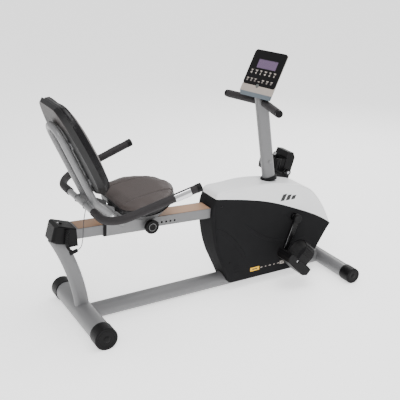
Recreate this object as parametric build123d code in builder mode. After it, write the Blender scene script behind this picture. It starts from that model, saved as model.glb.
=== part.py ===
from build123d import *
from math import atan2, cos, degrees, hypot, radians, sin, tan
import os

# Recumbent exercise bike: +X forward, +Y to the rider's left, +Z up, resting on z = 0.
# Lengths along the bike are written from the rear stabiliser's axis, which lies at REAR_X.
REAR_X = -557.3
FRONT_AXIS = 1204.8            # front stabiliser axis
REAR_TUBE_R, REAR_CAP_R, REAR_AXIS_Z, REAR_HALF = 44.5, 48.0, 46.5, 259.7
FRONT_TUBE_R, FRONT_CAP_R, FRONT_AXIS_Z, FRONT_HALF = 33.0, 35.8, 35.0, 271.9
MAIN_R, MAIN_Z, TUBE_WALL = 33.5, 37.0, 2.5

RAIL_W, RAIL_H, RAIL_WALL = 90.2, 40.8, 3.0
RAIL_SLOPE = 2.916             # degrees, down towards the front
RAIL_X, RAIL_Z = 290.7, 400.5  # centre of the rail at the pull knob
RAIL_BACK, RAIL_FRONT = -395.0, 349.0
HOLE_PITCH, HOLE_R, HOLE_DROP = 20.0, 4.5, 5.0
STRIP_W, STRIP_T = 78.0, 1.5

OVAL_L, OVAL_T, OVAL_WALL = 60.0, 38.0, 2.0   # rear post and mast tube
MAST_BASE, MAST_TOP = (930.4, 294.7), (853.9, 858.0)

CASE_HALF, CASE_WALL = 65.0, 4.0
CRANK_X, CRANK_Z, CRANK_LEN = 1006.5, 294.7, 167.5
CRANK_TURN = degrees(atan2(-153.9, -66.2))
ARM_IN, ARM_OUT = 84.0, 98.0
PULLEY_R, PULLEY_IN, PULLEY_OUT = 108.0, 30.0, 44.0
WHEEL_X, WHEEL_Z, WHEEL_R, WHEEL_HALF, SMALL_R = 745.0, 220.0, 115.0, 12.0, 22.0
BRAKE_X, BRAKE_Z = 712.0, 358.0

BACK_LEAN = 23.11
BACK_X, BACK_Z, UPRIGHT_Y, UPRIGHT_R = 71.5, 500.0, 60.0, 14.0
SEAT_TILT, SEAT_X, SEAT_Z = 7.0, 150.0, 526.0
BAR_TILT, BAR_X, BAR_Z = 16.1, 25.0, 531.6
BAR_R, FOAM_R = 12.5, 16.0

V_BACK, V_FRONT, V_Z, V_HALF, V_MID = 808.0, 858.0, 833.0, 206.0, 12.0
CONSOLE_X, CONSOLE_Z, CONSOLE_TILT, CONSOLE_YAW = 869.7, 973.4, 30.9, 12.7
PANEL_W, PANEL_H = 186.0, 157.5
KEY_X = (-73.0, -50.0, -28.0, 16.0, 42.0, 66.0)
KEY_Y, KEY_R, START_R = -61.0, 4.2, 8.0

os.makedirs("parts", exist_ok=True)


def side(y):
    """Plane seen from the bike's right: x forward, y up, normal to the right."""
    return Plane(origin=(REAR_X, y, 0), x_dir=(1, 0, 0), z_dir=(0, -1, 0))


def across(x, z=0.0):
    """Plane facing forward: x to the left, y up."""
    return Plane(origin=(REAR_X + x, 0, z), x_dir=(0, 1, 0), z_dir=(1, 0, 0))


def rail_station(t):
    """Plane square to the rail, t along it from the pull knob."""
    c, s = cos(radians(RAIL_SLOPE)), sin(radians(RAIL_SLOPE))
    origin = (REAR_X + RAIL_X + t * c, 0, RAIL_Z - t * s)
    return Plane(origin=origin, x_dir=(0, 1, 0), z_dir=(c, 0, -s))


def rail_side(y):
    c, s = cos(radians(RAIL_SLOPE)), sin(radians(RAIL_SLOPE))
    return Plane(origin=(REAR_X + RAIL_X, y, RAIL_Z), x_dir=(c, 0, -s), z_dir=(0, -1, 0))


def back_plane(n):
    """Plane of the back rest, n in front of the uprights: x to the left, y up the back."""
    c, s = cos(radians(BACK_LEAN)), sin(radians(BACK_LEAN))
    return Plane(origin=(REAR_X + BACK_X + n * c, 0, BACK_Z + n * s), x_dir=(0, 1, 0), z_dir=(c, 0, s))


def seat_plane(h):
    """Plane of the seat, h above the cushion's top: x forward, y to the left."""
    c, s = cos(radians(SEAT_TILT)), sin(radians(SEAT_TILT))
    return Plane(origin=(REAR_X + SEAT_X - h * s, 0, SEAT_Z + h * c), x_dir=(c, 0, s), z_dir=(-s, 0, c))


def console_plane(w):
    """Plane of the console's face, w towards the rider: x to the rider's right, y up."""
    t, a = radians(CONSOLE_TILT), radians(CONSOLE_YAW)
    across_face = Vector(sin(a), -cos(a), 0)
    up = Vector(sin(t) * cos(a), sin(t) * sin(a), cos(t))
    normal = across_face.cross(up)
    origin = Vector(REAR_X + CONSOLE_X, 0, CONSOLE_Z) + normal * w
    return Plane(origin=origin, x_dir=across_face, z_dir=normal)


def console_side(x):
    """Plane square to the console's face, x to its right: x up the face, y out of it."""
    face = console_plane(0)
    return Plane(origin=face.from_local_coords((x, 0, 0)), x_dir=face.y_dir, z_dir=face.x_dir)


def bar_point(u, y):
    """Point of the seat handlebar's plane, u forward of the crossbar line."""
    c, s = cos(radians(BAR_TILT)), sin(radians(BAR_TILT))
    return Vector(REAR_X + BAR_X + u * c, y, BAR_Z + u * s)


def cord_path(points):
    """Centre line of a free lead: straight runs joined by tangent arcs."""
    spots = [Vector(*p) for p in points]
    radii = []
    for a, b, c in zip(spots, spots[1:], spots[2:]):
        turn = (b - a).get_angle(c - b)
        run = min((b - a).length, (c - b).length)
        radii.append(round(0.45 * run / tan(radians(turn / 2)), 2))
    print("lead bend radii", radii)
    with BuildLine() as line:
        FilletPolyline(*spots, radius=radii)
    return line


# --- base frame -------------------------------------------------------------
with BuildPart() as main_tube:
    with BuildSketch(across(20, MAIN_Z)):
        Circle(MAIN_R)
        Circle(MAIN_R - TUBE_WALL, mode=Mode.SUBTRACT)
    extrude(amount=FRONT_AXIS - 40)
    with BuildSketch(side(60)):
        with Locations((0, REAR_AXIS_Z)):
            Circle(REAR_TUBE_R)
        with Locations((FRONT_AXIS, FRONT_AXIS_Z)):
            Circle(FRONT_TUBE_R)
    extrude(amount=120, mode=Mode.SUBTRACT)

with BuildPart() as rear_stabiliser:
    with BuildSketch(side(REAR_HALF - 6)):
        with Locations((0, REAR_AXIS_Z)):
            Circle(REAR_TUBE_R)
            Circle(REAR_TUBE_R - TUBE_WALL, mode=Mode.SUBTRACT)
    extrude(amount=2 * REAR_HALF - 12)

with BuildPart() as front_stabiliser:
    with BuildSketch(side(FRONT_HALF - 6)):
        with Locations((FRONT_AXIS, FRONT_AXIS_Z)):
            Circle(FRONT_TUBE_R)
            Circle(FRONT_TUBE_R - TUBE_WALL, mode=Mode.SUBTRACT)
    extrude(amount=2 * FRONT_HALF - 12)

with BuildPart() as stabiliser_caps:
    for x, z, cap_r, half in (
        (0, REAR_AXIS_Z, REAR_CAP_R, REAR_HALF),
        (FRONT_AXIS, FRONT_AXIS_Z, FRONT_CAP_R, FRONT_HALF),
    ):
        for start in (half, -half + 58):
            with BuildSketch(side(start)):
                with Locations((x, z)):
                    Circle(cap_r)
            extrude(amount=58)
    rims = stabiliser_caps.edges().filter_by(GeomType.CIRCLE)
    fillet([e for e in rims if abs(abs(e.center().Y) - REAR_HALF) < 1
            or abs(abs(e.center().Y) - FRONT_HALF) < 1], 4)
    with BuildSketch(Plane.XY.offset(-10)):
        Rectangle(2000, 700)
    extrude(amount=10, mode=Mode.SUBTRACT)
    for x, z, tube_r, half in (
        (0, REAR_AXIS_Z, REAR_TUBE_R, REAR_HALF),
        (FRONT_AXIS, FRONT_AXIS_Z, FRONT_TUBE_R, FRONT_HALF),
    ):
        with BuildSketch(side(half - 6)):
            with Locations((x, z)):
                Circle(tube_r)
        extrude(amount=2 * half - 12, mode=Mode.SUBTRACT)

# --- rail and rear post -----------------------------------------------------
with BuildPart() as seat_rail:
    with BuildSketch(rail_station(RAIL_BACK)):
        Rectangle(RAIL_W, RAIL_H)
        Rectangle(RAIL_W - 2 * RAIL_WALL, RAIL_H - 2 * RAIL_WALL, mode=Mode.SUBTRACT)
    extrude(amount=RAIL_FRONT - RAIL_BACK)
    with BuildSketch(rail_side(-RAIL_W / 2 + RAIL_WALL + 1)):
        with Locations(*[(HOLE_PITCH * k, -HOLE_DROP) for k in range(-4, 7)]):
            Circle(HOLE_R)
    extrude(amount=RAIL_WALL + 2, mode=Mode.SUBTRACT)

with BuildPart() as track_strip:
    with BuildSketch(rail_station(-305)):
        with Locations((0, RAIL_H / 2 + STRIP_T / 2)):
            Rectangle(STRIP_W, STRIP_T)
    extrude(amount=598)

with BuildPart() as rear_post:
    with BuildLine(side(0)) as post_line:
        ThreePointArc((-0.5, 60), (-33, 240), (-99, 404))
    with BuildSketch(Plane(origin=post_line.line @ 0, x_dir=(0, 1, 0), z_dir=post_line.line % 0)):
        SlotOverall(OVAL_L, OVAL_T, rotation=90)
        SlotOverall(OVAL_L - 2 * OVAL_WALL, OVAL_T - 2 * OVAL_WALL, rotation=90, mode=Mode.SUBTRACT)
    sweep(path=post_line.line)
    with BuildSketch(side(60)):
        with Locations((0, REAR_AXIS_Z)):
            Circle(REAR_TUBE_R)
    extrude(amount=120, mode=Mode.SUBTRACT)
    with BuildSketch(rail_station(RAIL_BACK - 60)):
        with Locations((0, 30)):
            Rectangle(120, RAIL_H + 60)
    extrude(amount=200, mode=Mode.SUBTRACT)

with BuildPart() as rear_end_cap:
    with BuildSketch(side(48)):
        with BuildLine():
            Polyline(
                (-20, 368), (-23, 441), (-31, 443), (-92, 464), (-108, 460),
                (-126, 400), (-118, 394), (-56, 381), (-56, 368), close=True,
            )
        make_face()
    extrude(amount=96)
    corners = rear_end_cap.edges().filter_by(lambda e: abs(e.tangent_at(0.5).Y) < 0.01)
    fillet(corners.filter_by_position(Axis.X, REAR_X - 122, REAR_X - 110), 16)
    rim = rear_end_cap.edges().filter_by_position(Axis.Z, 445, 463)
    fillet(rim.filter_by_position(Axis.X, REAR_X - 100, REAR_X - 40), 5)
    with BuildSketch(rail_station(RAIL_BACK)):
        Rectangle(RAIL_W, RAIL_H)
        with Locations((0, RAIL_H / 2)):
            Rectangle(STRIP_W + 1, 2 * STRIP_T + 1)
    extrude(amount=400, mode=Mode.SUBTRACT)
    with BuildSketch(Plane(origin=post_line.line @ 0, x_dir=(0, 1, 0), z_dir=post_line.line % 0)):
        SlotOverall(OVAL_L, OVAL_T, rotation=90)
    sweep(path=post_line.line, mode=Mode.SUBTRACT)
    with BuildSketch(Plane(origin=(REAR_X - 72, 0, 452), x_dir=(0, 1, 0), z_dir=(0.325, 0, 0.946))):
        Circle(7)
    extrude(amount=8)

# --- side plates carrying rail, flywheel and brake ---------------------------
with BuildPart() as frame_plates:
    for y in (26, -22):
        with BuildSketch(side(y)):
            with BuildLine():
                Polyline(
                    (674, 45), (812, 45), (786, 245), (738, 376), (694, 376), (672, 352),
                    (650, 385), (612, 385), (608, 345), (655, 300), (668, 200), close=True,
                )
            make_face()
            with Locations((WHEEL_X, WHEEL_Z)):
                Circle(14, mode=Mode.SUBTRACT)
            with Locations((BRAKE_X, BRAKE_Z)):
                Circle(4.06, mode=Mode.SUBTRACT)
        extrude(amount=4)
    with BuildSketch(rail_station(200)):
        with Locations((0, 20)):
            Rectangle(120, RAIL_H + 40)
    extrude(amount=RAIL_FRONT - 200 + 4, mode=Mode.SUBTRACT)
    with BuildSketch(across(600, MAIN_Z)):
        Circle(MAIN_R)
    extrude(amount=260, mode=Mode.SUBTRACT)

# --- mast -------------------------------------------------------------------
mast_lean = Vector(MAST_TOP[0] - MAST_BASE[0], 0, MAST_TOP[1] - MAST_BASE[1]).normalized()
mast_foot = Vector(REAR_X + MAST_BASE[0], 0, MAST_BASE[1]) - mast_lean * 245
mast_plane = Plane(origin=mast_foot, x_dir=(0, 1, 0), z_dir=mast_lean)
with BuildPart() as mast:
    with BuildSketch(mast_plane):
        SlotOverall(OVAL_L, OVAL_T, rotation=90)
        SlotOverall(OVAL_L - 2 * OVAL_WALL, OVAL_T - 2 * OVAL_WALL, rotation=90, mode=Mode.SUBTRACT)
    extrude(amount=860)
    with BuildSketch(across(900, MAIN_Z)):
        Circle(MAIN_R)
    extrude(amount=120, mode=Mode.SUBTRACT)
    with BuildSketch(Plane.XY.offset(MAST_TOP[1])):
        Rectangle(2000, 200)
    extrude(amount=100, mode=Mode.SUBTRACT)
    # collar round the upper handlebar where it passes through
    with BuildSketch(side(24)):
        with Locations((V_FRONT - 1, V_Z)):
            Circle(BAR_R + 5)
    extrude(amount=48)
    with BuildSketch(mast_plane):
        SlotOverall(OVAL_L - 2 * OVAL_WALL, OVAL_T - 2 * OVAL_WALL, rotation=90)
    extrude(amount=860, mode=Mode.SUBTRACT)

# --- casing -----------------------------------------------------------------
def case_rear_and_bottom(i=0.0):
    """Rear edge, flat bottom and front underside, i inside the outer face."""
    Spline((600 + i, 452), (583 + i, 400), (584 + i, 319), (602 + i, 213), (645 + i, 102), (671 + i, 40 + i))
    Line((671 + i, 40 + i), (1081 - i, 37 + i))
    Spline((1081 - i, 37 + i), (1122 - i, 83 + i), (1158 - i, 137 + i), (1217 - 1.6 * i, 222 + 0.4 * i))


def case_top(i=0.0):
    Spline((600 + i, 452), (606 + i, 470 - i), (655, 479 - i), (742, 483 - i), (857, 477 - i),
           (988, 452 - i), (1084 - 0.6 * i, 418 - 0.8 * i), (1150 - i, 350 - i),
           (1192 - i, 280), (1217 - 1.6 * i, 222 + 0.4 * i))


def case_split():
    Spline((1217, 222), (1126, 281), (1040, 322), (874, 390), (743, 425), (600, 452))


with BuildPart() as case_room:
    with BuildSketch(side(CASE_HALF - CASE_WALL)):
        with BuildLine():
            case_rear_and_bottom(CASE_WALL)
            case_top(CASE_WALL)
        make_face()
    extrude(amount=2 * (CASE_HALF - CASE_WALL))

with BuildPart() as case_gaps:
    with BuildSketch(rail_station(240)):
        with Locations((0, 0.5)):
            Rectangle(RAIL_W + 1, RAIL_H + 4)
    extrude(amount=120)
    with BuildSketch(across(600, MAIN_Z)):
        Circle(MAIN_R + 0.5)
    extrude(amount=600)
    with BuildSketch(mast_plane):
        SlotOverall(OVAL_L + 2, OVAL_T + 2, rotation=90)
    extrude(amount=560)
    with BuildSketch(side(CASE_HALF + 2)):
        with Locations((CRANK_X, CRANK_Z)):
            Circle(17)
    extrude(amount=2 * CASE_HALF + 4)
    with BuildSketch(side(50)):
        with Locations((FRONT_AXIS, FRONT_AXIS_Z)):
            Circle(FRONT_TUBE_R + 4)
    extrude(amount=100)


def shell_half(y):
    with BuildPart() as half:
        with BuildSketch(side(y)):
            with BuildLine():
                case_rear_and_bottom()
                case_split()
            make_face()
        extrude(amount=CASE_HALF)
        outer = half.faces().sort_by(Axis.Y)[-1 if y > 0 else 0]
        fillet(outer.edges().filter_by_position(Axis.Z, 40, 500).sort_by(Axis.X)[:1], 9)
        add(case_room.part, mode=Mode.SUBTRACT)
        add(case_gaps.part, mode=Mode.SUBTRACT)
    return half


with BuildPart() as right_shell:
    add(shell_half(0).part)
with BuildPart() as left_shell:
    add(shell_half(CASE_HALF).part)

with BuildPart() as top_cover:
    with BuildSketch(side(CASE_HALF)):
        with BuildLine():
            case_top()
            case_split()
        make_face()
    extrude(amount=2 * CASE_HALF)
    for flank in (top_cover.faces().sort_by(Axis.Y)[0], top_cover.faces().sort_by(Axis.Y)[-1]):
        ridge = flank.edges().sort_by(lambda e: e.center().Z)[-1]
        fillet(ridge, 9)
    add(case_room.part, mode=Mode.SUBTRACT)
    add(case_gaps.part, mode=Mode.SUBTRACT)

with BuildPart() as mast_collar:
    with BuildSketch(mast_plane.offset(424)):
        SlotOverall(OVAL_L + 18, OVAL_T + 16, rotation=90)
    extrude(amount=16)
    chamfer(mast_collar.faces().sort_by(Axis.Z)[-1].edges(), 2.5)
    with BuildSketch(mast_plane):
        SlotOverall(OVAL_L, OVAL_T, rotation=90)
    extrude(amount=560, mode=Mode.SUBTRACT)
    add(top_cover.part, mode=Mode.SUBTRACT)

# --- crank drive ------------------------------------------------------------
with BuildPart() as bottom_bracket:
    with BuildSketch(side(28)):
        with Locations((CRANK_X, CRANK_Z)):
            Circle(23)
    extrude(amount=56)
    for y in (18, -12):
        with BuildSketch(side(y)):
            with Locations((978, CRANK_Z)):
                Rectangle(56, 42)
        extrude(amount=6)
    with BuildSketch(mast_plane):
        SlotOverall(OVAL_L, OVAL_T, rotation=90)
    extrude(amount=860, mode=Mode.SUBTRACT)
    with BuildSketch(side(28)):
        with Locations((CRANK_X, CRANK_Z)):
            Circle(18)
    extrude(amount=56, mode=Mode.SUBTRACT)

with BuildPart() as bearings:
    for x, z, outer_r, inner_r, starts, width in (
        (CRANK_X, CRANK_Z, 18, 10.06, (28, -16), 12),
        (WHEEL_X, WHEEL_Z, 14, 6.06, (28, -20), 8),
    ):
        for y in starts:
            with BuildSketch(side(y)):
                with Locations((x, z)):
                    Circle(outer_r)
                    Circle(inner_r, mode=Mode.SUBTRACT)
            extrude(amount=width)

with BuildPart() as crank_axle:
    with BuildSketch(side(ARM_OUT)):
        with Locations((CRANK_X, CRANK_Z)):
            Circle(10)
    extrude(amount=2 * ARM_OUT)

with BuildPart() as drive_pulley:
    with BuildSketch(side(-PULLEY_IN)):
        with Locations((CRANK_X, CRANK_Z)):
            Circle(PULLEY_R)
            with PolarLocations(66, 5):
                Circle(24, mode=Mode.SUBTRACT)
            Circle(10, mode=Mode.SUBTRACT)
    extrude(amount=PULLEY_OUT - PULLEY_IN)
    with BuildSketch(side(-PULLEY_IN)):
        with Locations((CRANK_X, CRANK_Z)):
            Circle(PULLEY_R - 8)
            Circle(26, mode=Mode.SUBTRACT)
    extrude(amount=4, mode=Mode.SUBTRACT)
    with BuildSketch(side(-PULLEY_OUT + 4)):
        with Locations((CRANK_X, CRANK_Z)):
            Circle(PULLEY_R - 8)
            Circle(26, mode=Mode.SUBTRACT)
    extrude(amount=4, mode=Mode.SUBTRACT)


def crank_arm(y, turn):
    """Flat arm with a boss at the axle and one at the pedal."""
    frame = Plane(origin=(REAR_X + CRANK_X, y, CRANK_Z), z_dir=(0, -1, 0),
                  x_dir=(cos(radians(turn)), 0, sin(radians(turn))))
    with BuildPart() as arm:
        with BuildSketch(frame):
            Circle(21)
            with Locations((CRANK_LEN, 0)):
                Circle(14)
            with BuildLine():
                Polyline((0, -15), (CRANK_LEN, -11), (CRANK_LEN, 11), (0, 15), close=True)
            make_face()
            Circle(10, mode=Mode.SUBTRACT)
            with Locations((CRANK_LEN, 0)):
                Circle(7, mode=Mode.SUBTRACT)
        extrude(amount=ARM_OUT - ARM_IN)
        chamfer(arm.edges().filter_by(GeomType.LINE).filter_by(Axis.Y, reverse=True), 2)
    return arm


with BuildPart() as right_crank:
    add(crank_arm(-ARM_IN, CRANK_TURN).part)
with BuildPart() as left_crank:
    add(crank_arm(ARM_OUT, CRANK_TURN + 180).part)

with BuildPart() as crank_caps:
    for y in (ARM_OUT + 4, -ARM_OUT):
        with BuildSketch(side(y)):
            with Locations((CRANK_X, CRANK_Z)):
                Circle(20)
        extrude(amount=4)
    fillet(crank_caps.edges().filter_by(GeomType.CIRCLE).group_by(Axis.Y)[0], 2)
    fillet(crank_caps.edges().filter_by(GeomType.CIRCLE).group_by(Axis.Y)[-1], 2)


def pedal_spot(sign):
    turn = radians(CRANK_TURN + (0 if sign < 0 else 180))
    return CRANK_X + CRANK_LEN * cos(turn), CRANK_Z + CRANK_LEN * sin(turn)


with BuildPart() as pedal_spindles:
    for sign in (-1, 1):
        px, pz = pedal_spot(sign)
        start = 200 if sign > 0 else -ARM_IN
        with BuildSketch(side(start)):
            with Locations((px, pz)):
                Circle(7)
        extrude(amount=200 - ARM_IN)


def pedal_frame(sign, y, lift):
    """Pedal's own frame: x to the toe end, y towards the strap."""
    px, pz = pedal_spot(sign)
    t = radians(lift)
    return Plane(origin=(REAR_X + px, y, pz), x_dir=(cos(t), 0, sin(t)), z_dir=(0, -1, 0))


def pedal_body(sign, lift):
    near, far = (-112, -204) if sign < 0 else (204, 112)
    with BuildPart() as body:
        with BuildSketch(pedal_frame(sign, near, lift)):
            with BuildLine():
                Polyline((-54, -14), (-40, -30), (70, -36), (92, -22), (92, 8), (70, 12),
                         (-44, 12), (-54, 4), close=True)
            make_face()
        extrude(amount=near - far)
        with BuildSketch(pedal_frame(sign, near + 1, lift)):
            Circle(7.06)
        extrude(amount=near - far + 2, mode=Mode.SUBTRACT)
        # treads across the platform and hollow bays beneath it
        with BuildSketch(pedal_frame(sign, near + 1, lift)):
            with Locations(*[(-36 + 16 * k, 11) for k in range(7)]):
                Rectangle(6, 4)
        extrude(amount=near - far + 2, mode=Mode.SUBTRACT)
        with BuildSketch(pedal_frame(sign, near - 8, lift)):
            with Locations((-30, -14), (32, -16), (64, -14)):
                RectangleRounded(22, 22, 4)
        extrude(amount=near - far - 16, mode=Mode.SUBTRACT)
    return body


def pedal_strap(sign, lift, height):
    """Ribbed band from the pedal's inner side over the foot to its outer side."""
    near, far = (-114, -202) if sign < 0 else (202, 114)
    px, pz = pedal_spot(sign)
    t = radians(lift)
    toe = Vector(cos(t), 0, sin(t))
    up = Vector(-sin(t), 0, cos(t))
    base = Vector(REAR_X + px, (near + far) / 2, pz) + toe * -6 + up * 12.2
    with BuildPart() as band:
        with BuildSketch(Plane(origin=base, x_dir=(0, 1, 0), z_dir=toe)):
            with BuildLine():
                Line((-44, 0), (-44, 22))
                ThreePointArc((-44, 22), (0, height), (44, 22))
                Line((44, 22), (44, 0))
                Line((44, 0), (41, 0))
                Line((41, 0), (41, 22))
                ThreePointArc((41, 22), (0, height - 3), (-41, 22))
                Line((-41, 22), (-41, 0))
                Line((-41, 0), (-44, 0))
            make_face()
        extrude(amount=62)
    return band


RIGHT_LIFT, LEFT_LIFT = -43.0, 75.0
with BuildPart() as right_pedal:
    add(pedal_body(-1, RIGHT_LIFT).part)
with BuildPart() as left_pedal:
    add(pedal_body(1, LEFT_LIFT).part)
with BuildPart() as right_strap:
    add(pedal_strap(-1, RIGHT_LIFT, 84).part)
with BuildPart() as left_strap:
    add(pedal_strap(1, LEFT_LIFT, 100).part)

with BuildPart() as flywheel:
    with BuildSketch(side(WHEEL_HALF)):
        with Locations((WHEEL_X, WHEEL_Z)):
            Circle(WHEEL_R)
            Circle(6, mode=Mode.SUBTRACT)
    extrude(amount=2 * WHEEL_HALF)
    for y in (WHEEL_HALF, -WHEEL_HALF + 7):
        with BuildSketch(side(y)):
            with Locations((WHEEL_X, WHEEL_Z)):
                Circle(WHEEL_R - 22)
                Circle(20, mode=Mode.SUBTRACT)
        extrude(amount=7, mode=Mode.SUBTRACT)

with BuildPart() as flywheel_axle:
    with BuildSketch(side(32)):
        with Locations((WHEEL_X, WHEEL_Z)):
            Circle(6)
    extrude(amount=78)
    with BuildSketch(side(-PULLEY_IN)):
        with Locations((WHEEL_X, WHEEL_Z)):
            Circle(SMALL_R)
    extrude(amount=PULLEY_OUT - PULLEY_IN)

gap = hypot(CRANK_X - WHEEL_X, CRANK_Z - WHEEL_Z)
belt_turn = degrees(atan2(CRANK_Z - WHEEL_Z, CRANK_X - WHEEL_X))


def belt_face(grow):
    """Closed outline round both pulleys."""
    big, small = PULLEY_R + grow, SMALL_R + grow
    lean = atan2(big - small, (gap**2 - (big - small) ** 2) ** 0.5)
    ends = []
    for s in (1, -1):
        nx, ny = -sin(lean), s * cos(lean)
        ends.append(((small * nx, small * ny), (gap + big * nx, big * ny)))
    (a, b), (d, c) = ends[0], ends[1]
    Line(a, b)
    ThreePointArc(b, (gap + big, 0), c)
    Line(c, d)
    ThreePointArc(d, (-small, 0), a)


belt_plane = Plane(origin=(REAR_X + WHEEL_X, -PULLEY_IN - 2, WHEEL_Z), z_dir=(0, -1, 0),
                   x_dir=(cos(radians(belt_turn)), 0, sin(radians(belt_turn))))
with BuildPart() as drive_belt:
    with BuildSketch(belt_plane):
        with BuildLine():
            belt_face(3.4)
        make_face()
        with BuildLine():
            belt_face(0.4)
        make_face(mode=Mode.SUBTRACT)
    extrude(amount=PULLEY_OUT - PULLEY_IN - 4)

# --- magnet brake -----------------------------------------------------------
with BuildPart() as magnet_arm:
    with BuildSketch(Plane(origin=(REAR_X + WHEEL_X, 12, WHEEL_Z), x_dir=(1, 0, 0), z_dir=(0, -1, 0))):
        with BuildLine():
            CenterArc((0, 0), WHEEL_R + 24, 100, 50)
            CenterArc((0, 0), WHEEL_R + 16, 100, 50)
            for angle in (100, 150):
                foot = Vector(cos(radians(angle)), sin(radians(angle)))
                Line(foot * (WHEEL_R + 16), foot * (WHEEL_R + 24))
        make_face()
        with Locations((BRAKE_X - WHEEL_X, BRAKE_Z - WHEEL_Z)):
            Circle(10)
    extrude(amount=24)
    with BuildSketch(side(26)):
        with Locations((BRAKE_X, BRAKE_Z)):
            Circle(4)
    extrude(amount=52)

with BuildPart() as brake_magnets:
    for angle in (108, 120, 132, 144):
        radial = (cos(radians(angle)), 0, sin(radians(angle)))
        origin = (REAR_X + WHEEL_X + radial[0] * (WHEEL_R + 4), 0, WHEEL_Z + radial[2] * (WHEEL_R + 4))
        with BuildSketch(Plane(origin=origin, x_dir=(0, 1, 0), z_dir=radial)):
            Rectangle(20, 18)
        extrude(amount=14)
    add(magnet_arm.part, mode=Mode.SUBTRACT)

# --- upper handlebar --------------------------------------------------------
with BuildPart() as console_bar:
    with BuildLine() as v_line:
        FilletPolyline(
            (REAR_X + V_BACK, V_HALF, V_Z), (REAR_X + V_FRONT, V_MID, V_Z),
            (REAR_X + V_FRONT, -V_MID, V_Z), (REAR_X + V_BACK, -V_HALF, V_Z), radius=12,
        )
    with BuildSketch(Plane(origin=v_line.line @ 0, z_dir=v_line.line % 0)):
        Circle(BAR_R)
        Circle(BAR_R - 2, mode=Mode.SUBTRACT)
    sweep(path=v_line.line)

with mast:
    with BuildSketch(Plane(origin=v_line.line @ 0, z_dir=v_line.line % 0)):
        Circle(BAR_R)
    sweep(path=v_line.line, mode=Mode.SUBTRACT)


def grip_on(start, stop, outer_r, inner_r):
    direction = (stop - start).normalized()
    with BuildPart() as grip:
        with BuildSketch(Plane(origin=start, z_dir=direction)):
            Circle(outer_r)
            if inner_r:
                Circle(inner_r, mode=Mode.SUBTRACT)
        extrude(amount=(stop - start).length)
    return grip


with BuildPart() as console_foam:
    for sign in (1, -1):
        outer = Vector(REAR_X + V_BACK, sign * V_HALF, V_Z)
        inner = Vector(REAR_X + V_FRONT, sign * V_MID, V_Z)
        along = (inner - outer).normalized()
        add(grip_on(outer + along * 10, inner - along * 19, 17, BAR_R).part)

with BuildPart() as console_bar_caps:
    for sign in (1, -1):
        outer = Vector(REAR_X + V_BACK, sign * V_HALF, V_Z)
        inner = Vector(REAR_X + V_FRONT, sign * V_MID, V_Z)
        along = (inner - outer).normalized()
        add(grip_on(outer - along * 5, outer, 16, 0).part)
        add(grip_on(outer, outer + along * 10, 16, BAR_R).part)
    fillet(console_bar_caps.edges().filter_by(GeomType.CIRCLE).group_by(Axis.Y)[-1], 4)
    fillet(console_bar_caps.edges().filter_by(GeomType.CIRCLE).group_by(Axis.Y)[0], 4)

# --- console ----------------------------------------------------------------
with BuildPart() as console_housing:
    with BuildSketch(console_side(-96)):
        with BuildLine():
            Polyline((84, -3), (84, -18), (66, -42), (-50, -82), (-84, -84), (-127, -11),
                     (-109, 0), (-79, 0), (-79, -3), close=True)
        make_face()
    extrude(amount=192)
    # both sides slope in towards the back, down to a narrow neck on the mast
    face = console_plane(0)
    with BuildSketch(Plane(origin=face.origin, x_dir=face.x_dir, z_dir=face.y_dir)):
        Polygon((-96, -1), (96, -1), (96, 3), (30, 66), (12, 66), (12, 96),
                (-12, 96), (-12, 66), (-30, 66), (-96, 3), align=None)
    extrude(amount=150, both=True, mode=Mode.INTERSECT)
    with BuildSketch(console_plane(5)):
        with Locations((0, -28)):
            RectangleRounded(184, 211, 14)
    extrude(amount=-110, mode=Mode.INTERSECT)
    with BuildSketch(console_plane(-3)):
        Rectangle(162, 142)
    extrude(amount=-9, mode=Mode.SUBTRACT)
    with BuildSketch(console_plane(-12)):
        with Locations((0, -5)):
            Rectangle(104, 110)
    extrude(amount=-28, mode=Mode.SUBTRACT)
    with BuildSketch(console_plane(-9)):
        with Locations((-4, -79)):
            Circle(START_R + 0.5)
    extrude(amount=20, mode=Mode.SUBTRACT)

with BuildPart() as console_panel:
    with BuildSketch(console_plane(-3)):
        RectangleRounded(PANEL_W, PANEL_H, 14)
        with Locations((3, 19)):
            Rectangle(112, 40, mode=Mode.SUBTRACT)
        with Locations(*[(x, KEY_Y) for x in KEY_X]):
            Circle(KEY_R + 0.4, mode=Mode.SUBTRACT)
        with Locations((-4, -79)):
            Circle(START_R + 0.5, mode=Mode.SUBTRACT)
    extrude(amount=3)
    with BuildSketch(console_plane(-3)):
        with Locations((3, 19)):
            Rectangle(116, 44)
    extrude(amount=1.5, mode=Mode.SUBTRACT)

with BuildPart() as console_screen:
    with BuildSketch(console_plane(-6)):
        with Locations((3, 19)):
            Rectangle(116, 44)
    extrude(amount=4.5)

keys = []
for number, key_x in enumerate(KEY_X, 1):
    with BuildPart() as key:
        with BuildSketch(console_plane(-6)):
            with Locations((key_x, KEY_Y)):
                Circle(KEY_R)
        extrude(amount=7.5)
        fillet(key.faces().sort_by(Axis(console_plane(0).origin, console_plane(0).z_dir))[-1].edges(), 1)
    key.part.label = f"key_{number}"
    keys.append(key)

with BuildPart() as start_key:
    with BuildSketch(console_plane(-6)):
        with Locations((-4, -79)):
            Circle(START_R)
    extrude(amount=8)
    fillet(start_key.faces().sort_by(Axis(console_plane(0).origin, console_plane(0).z_dir))[-1].edges(), 1.5)

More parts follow.
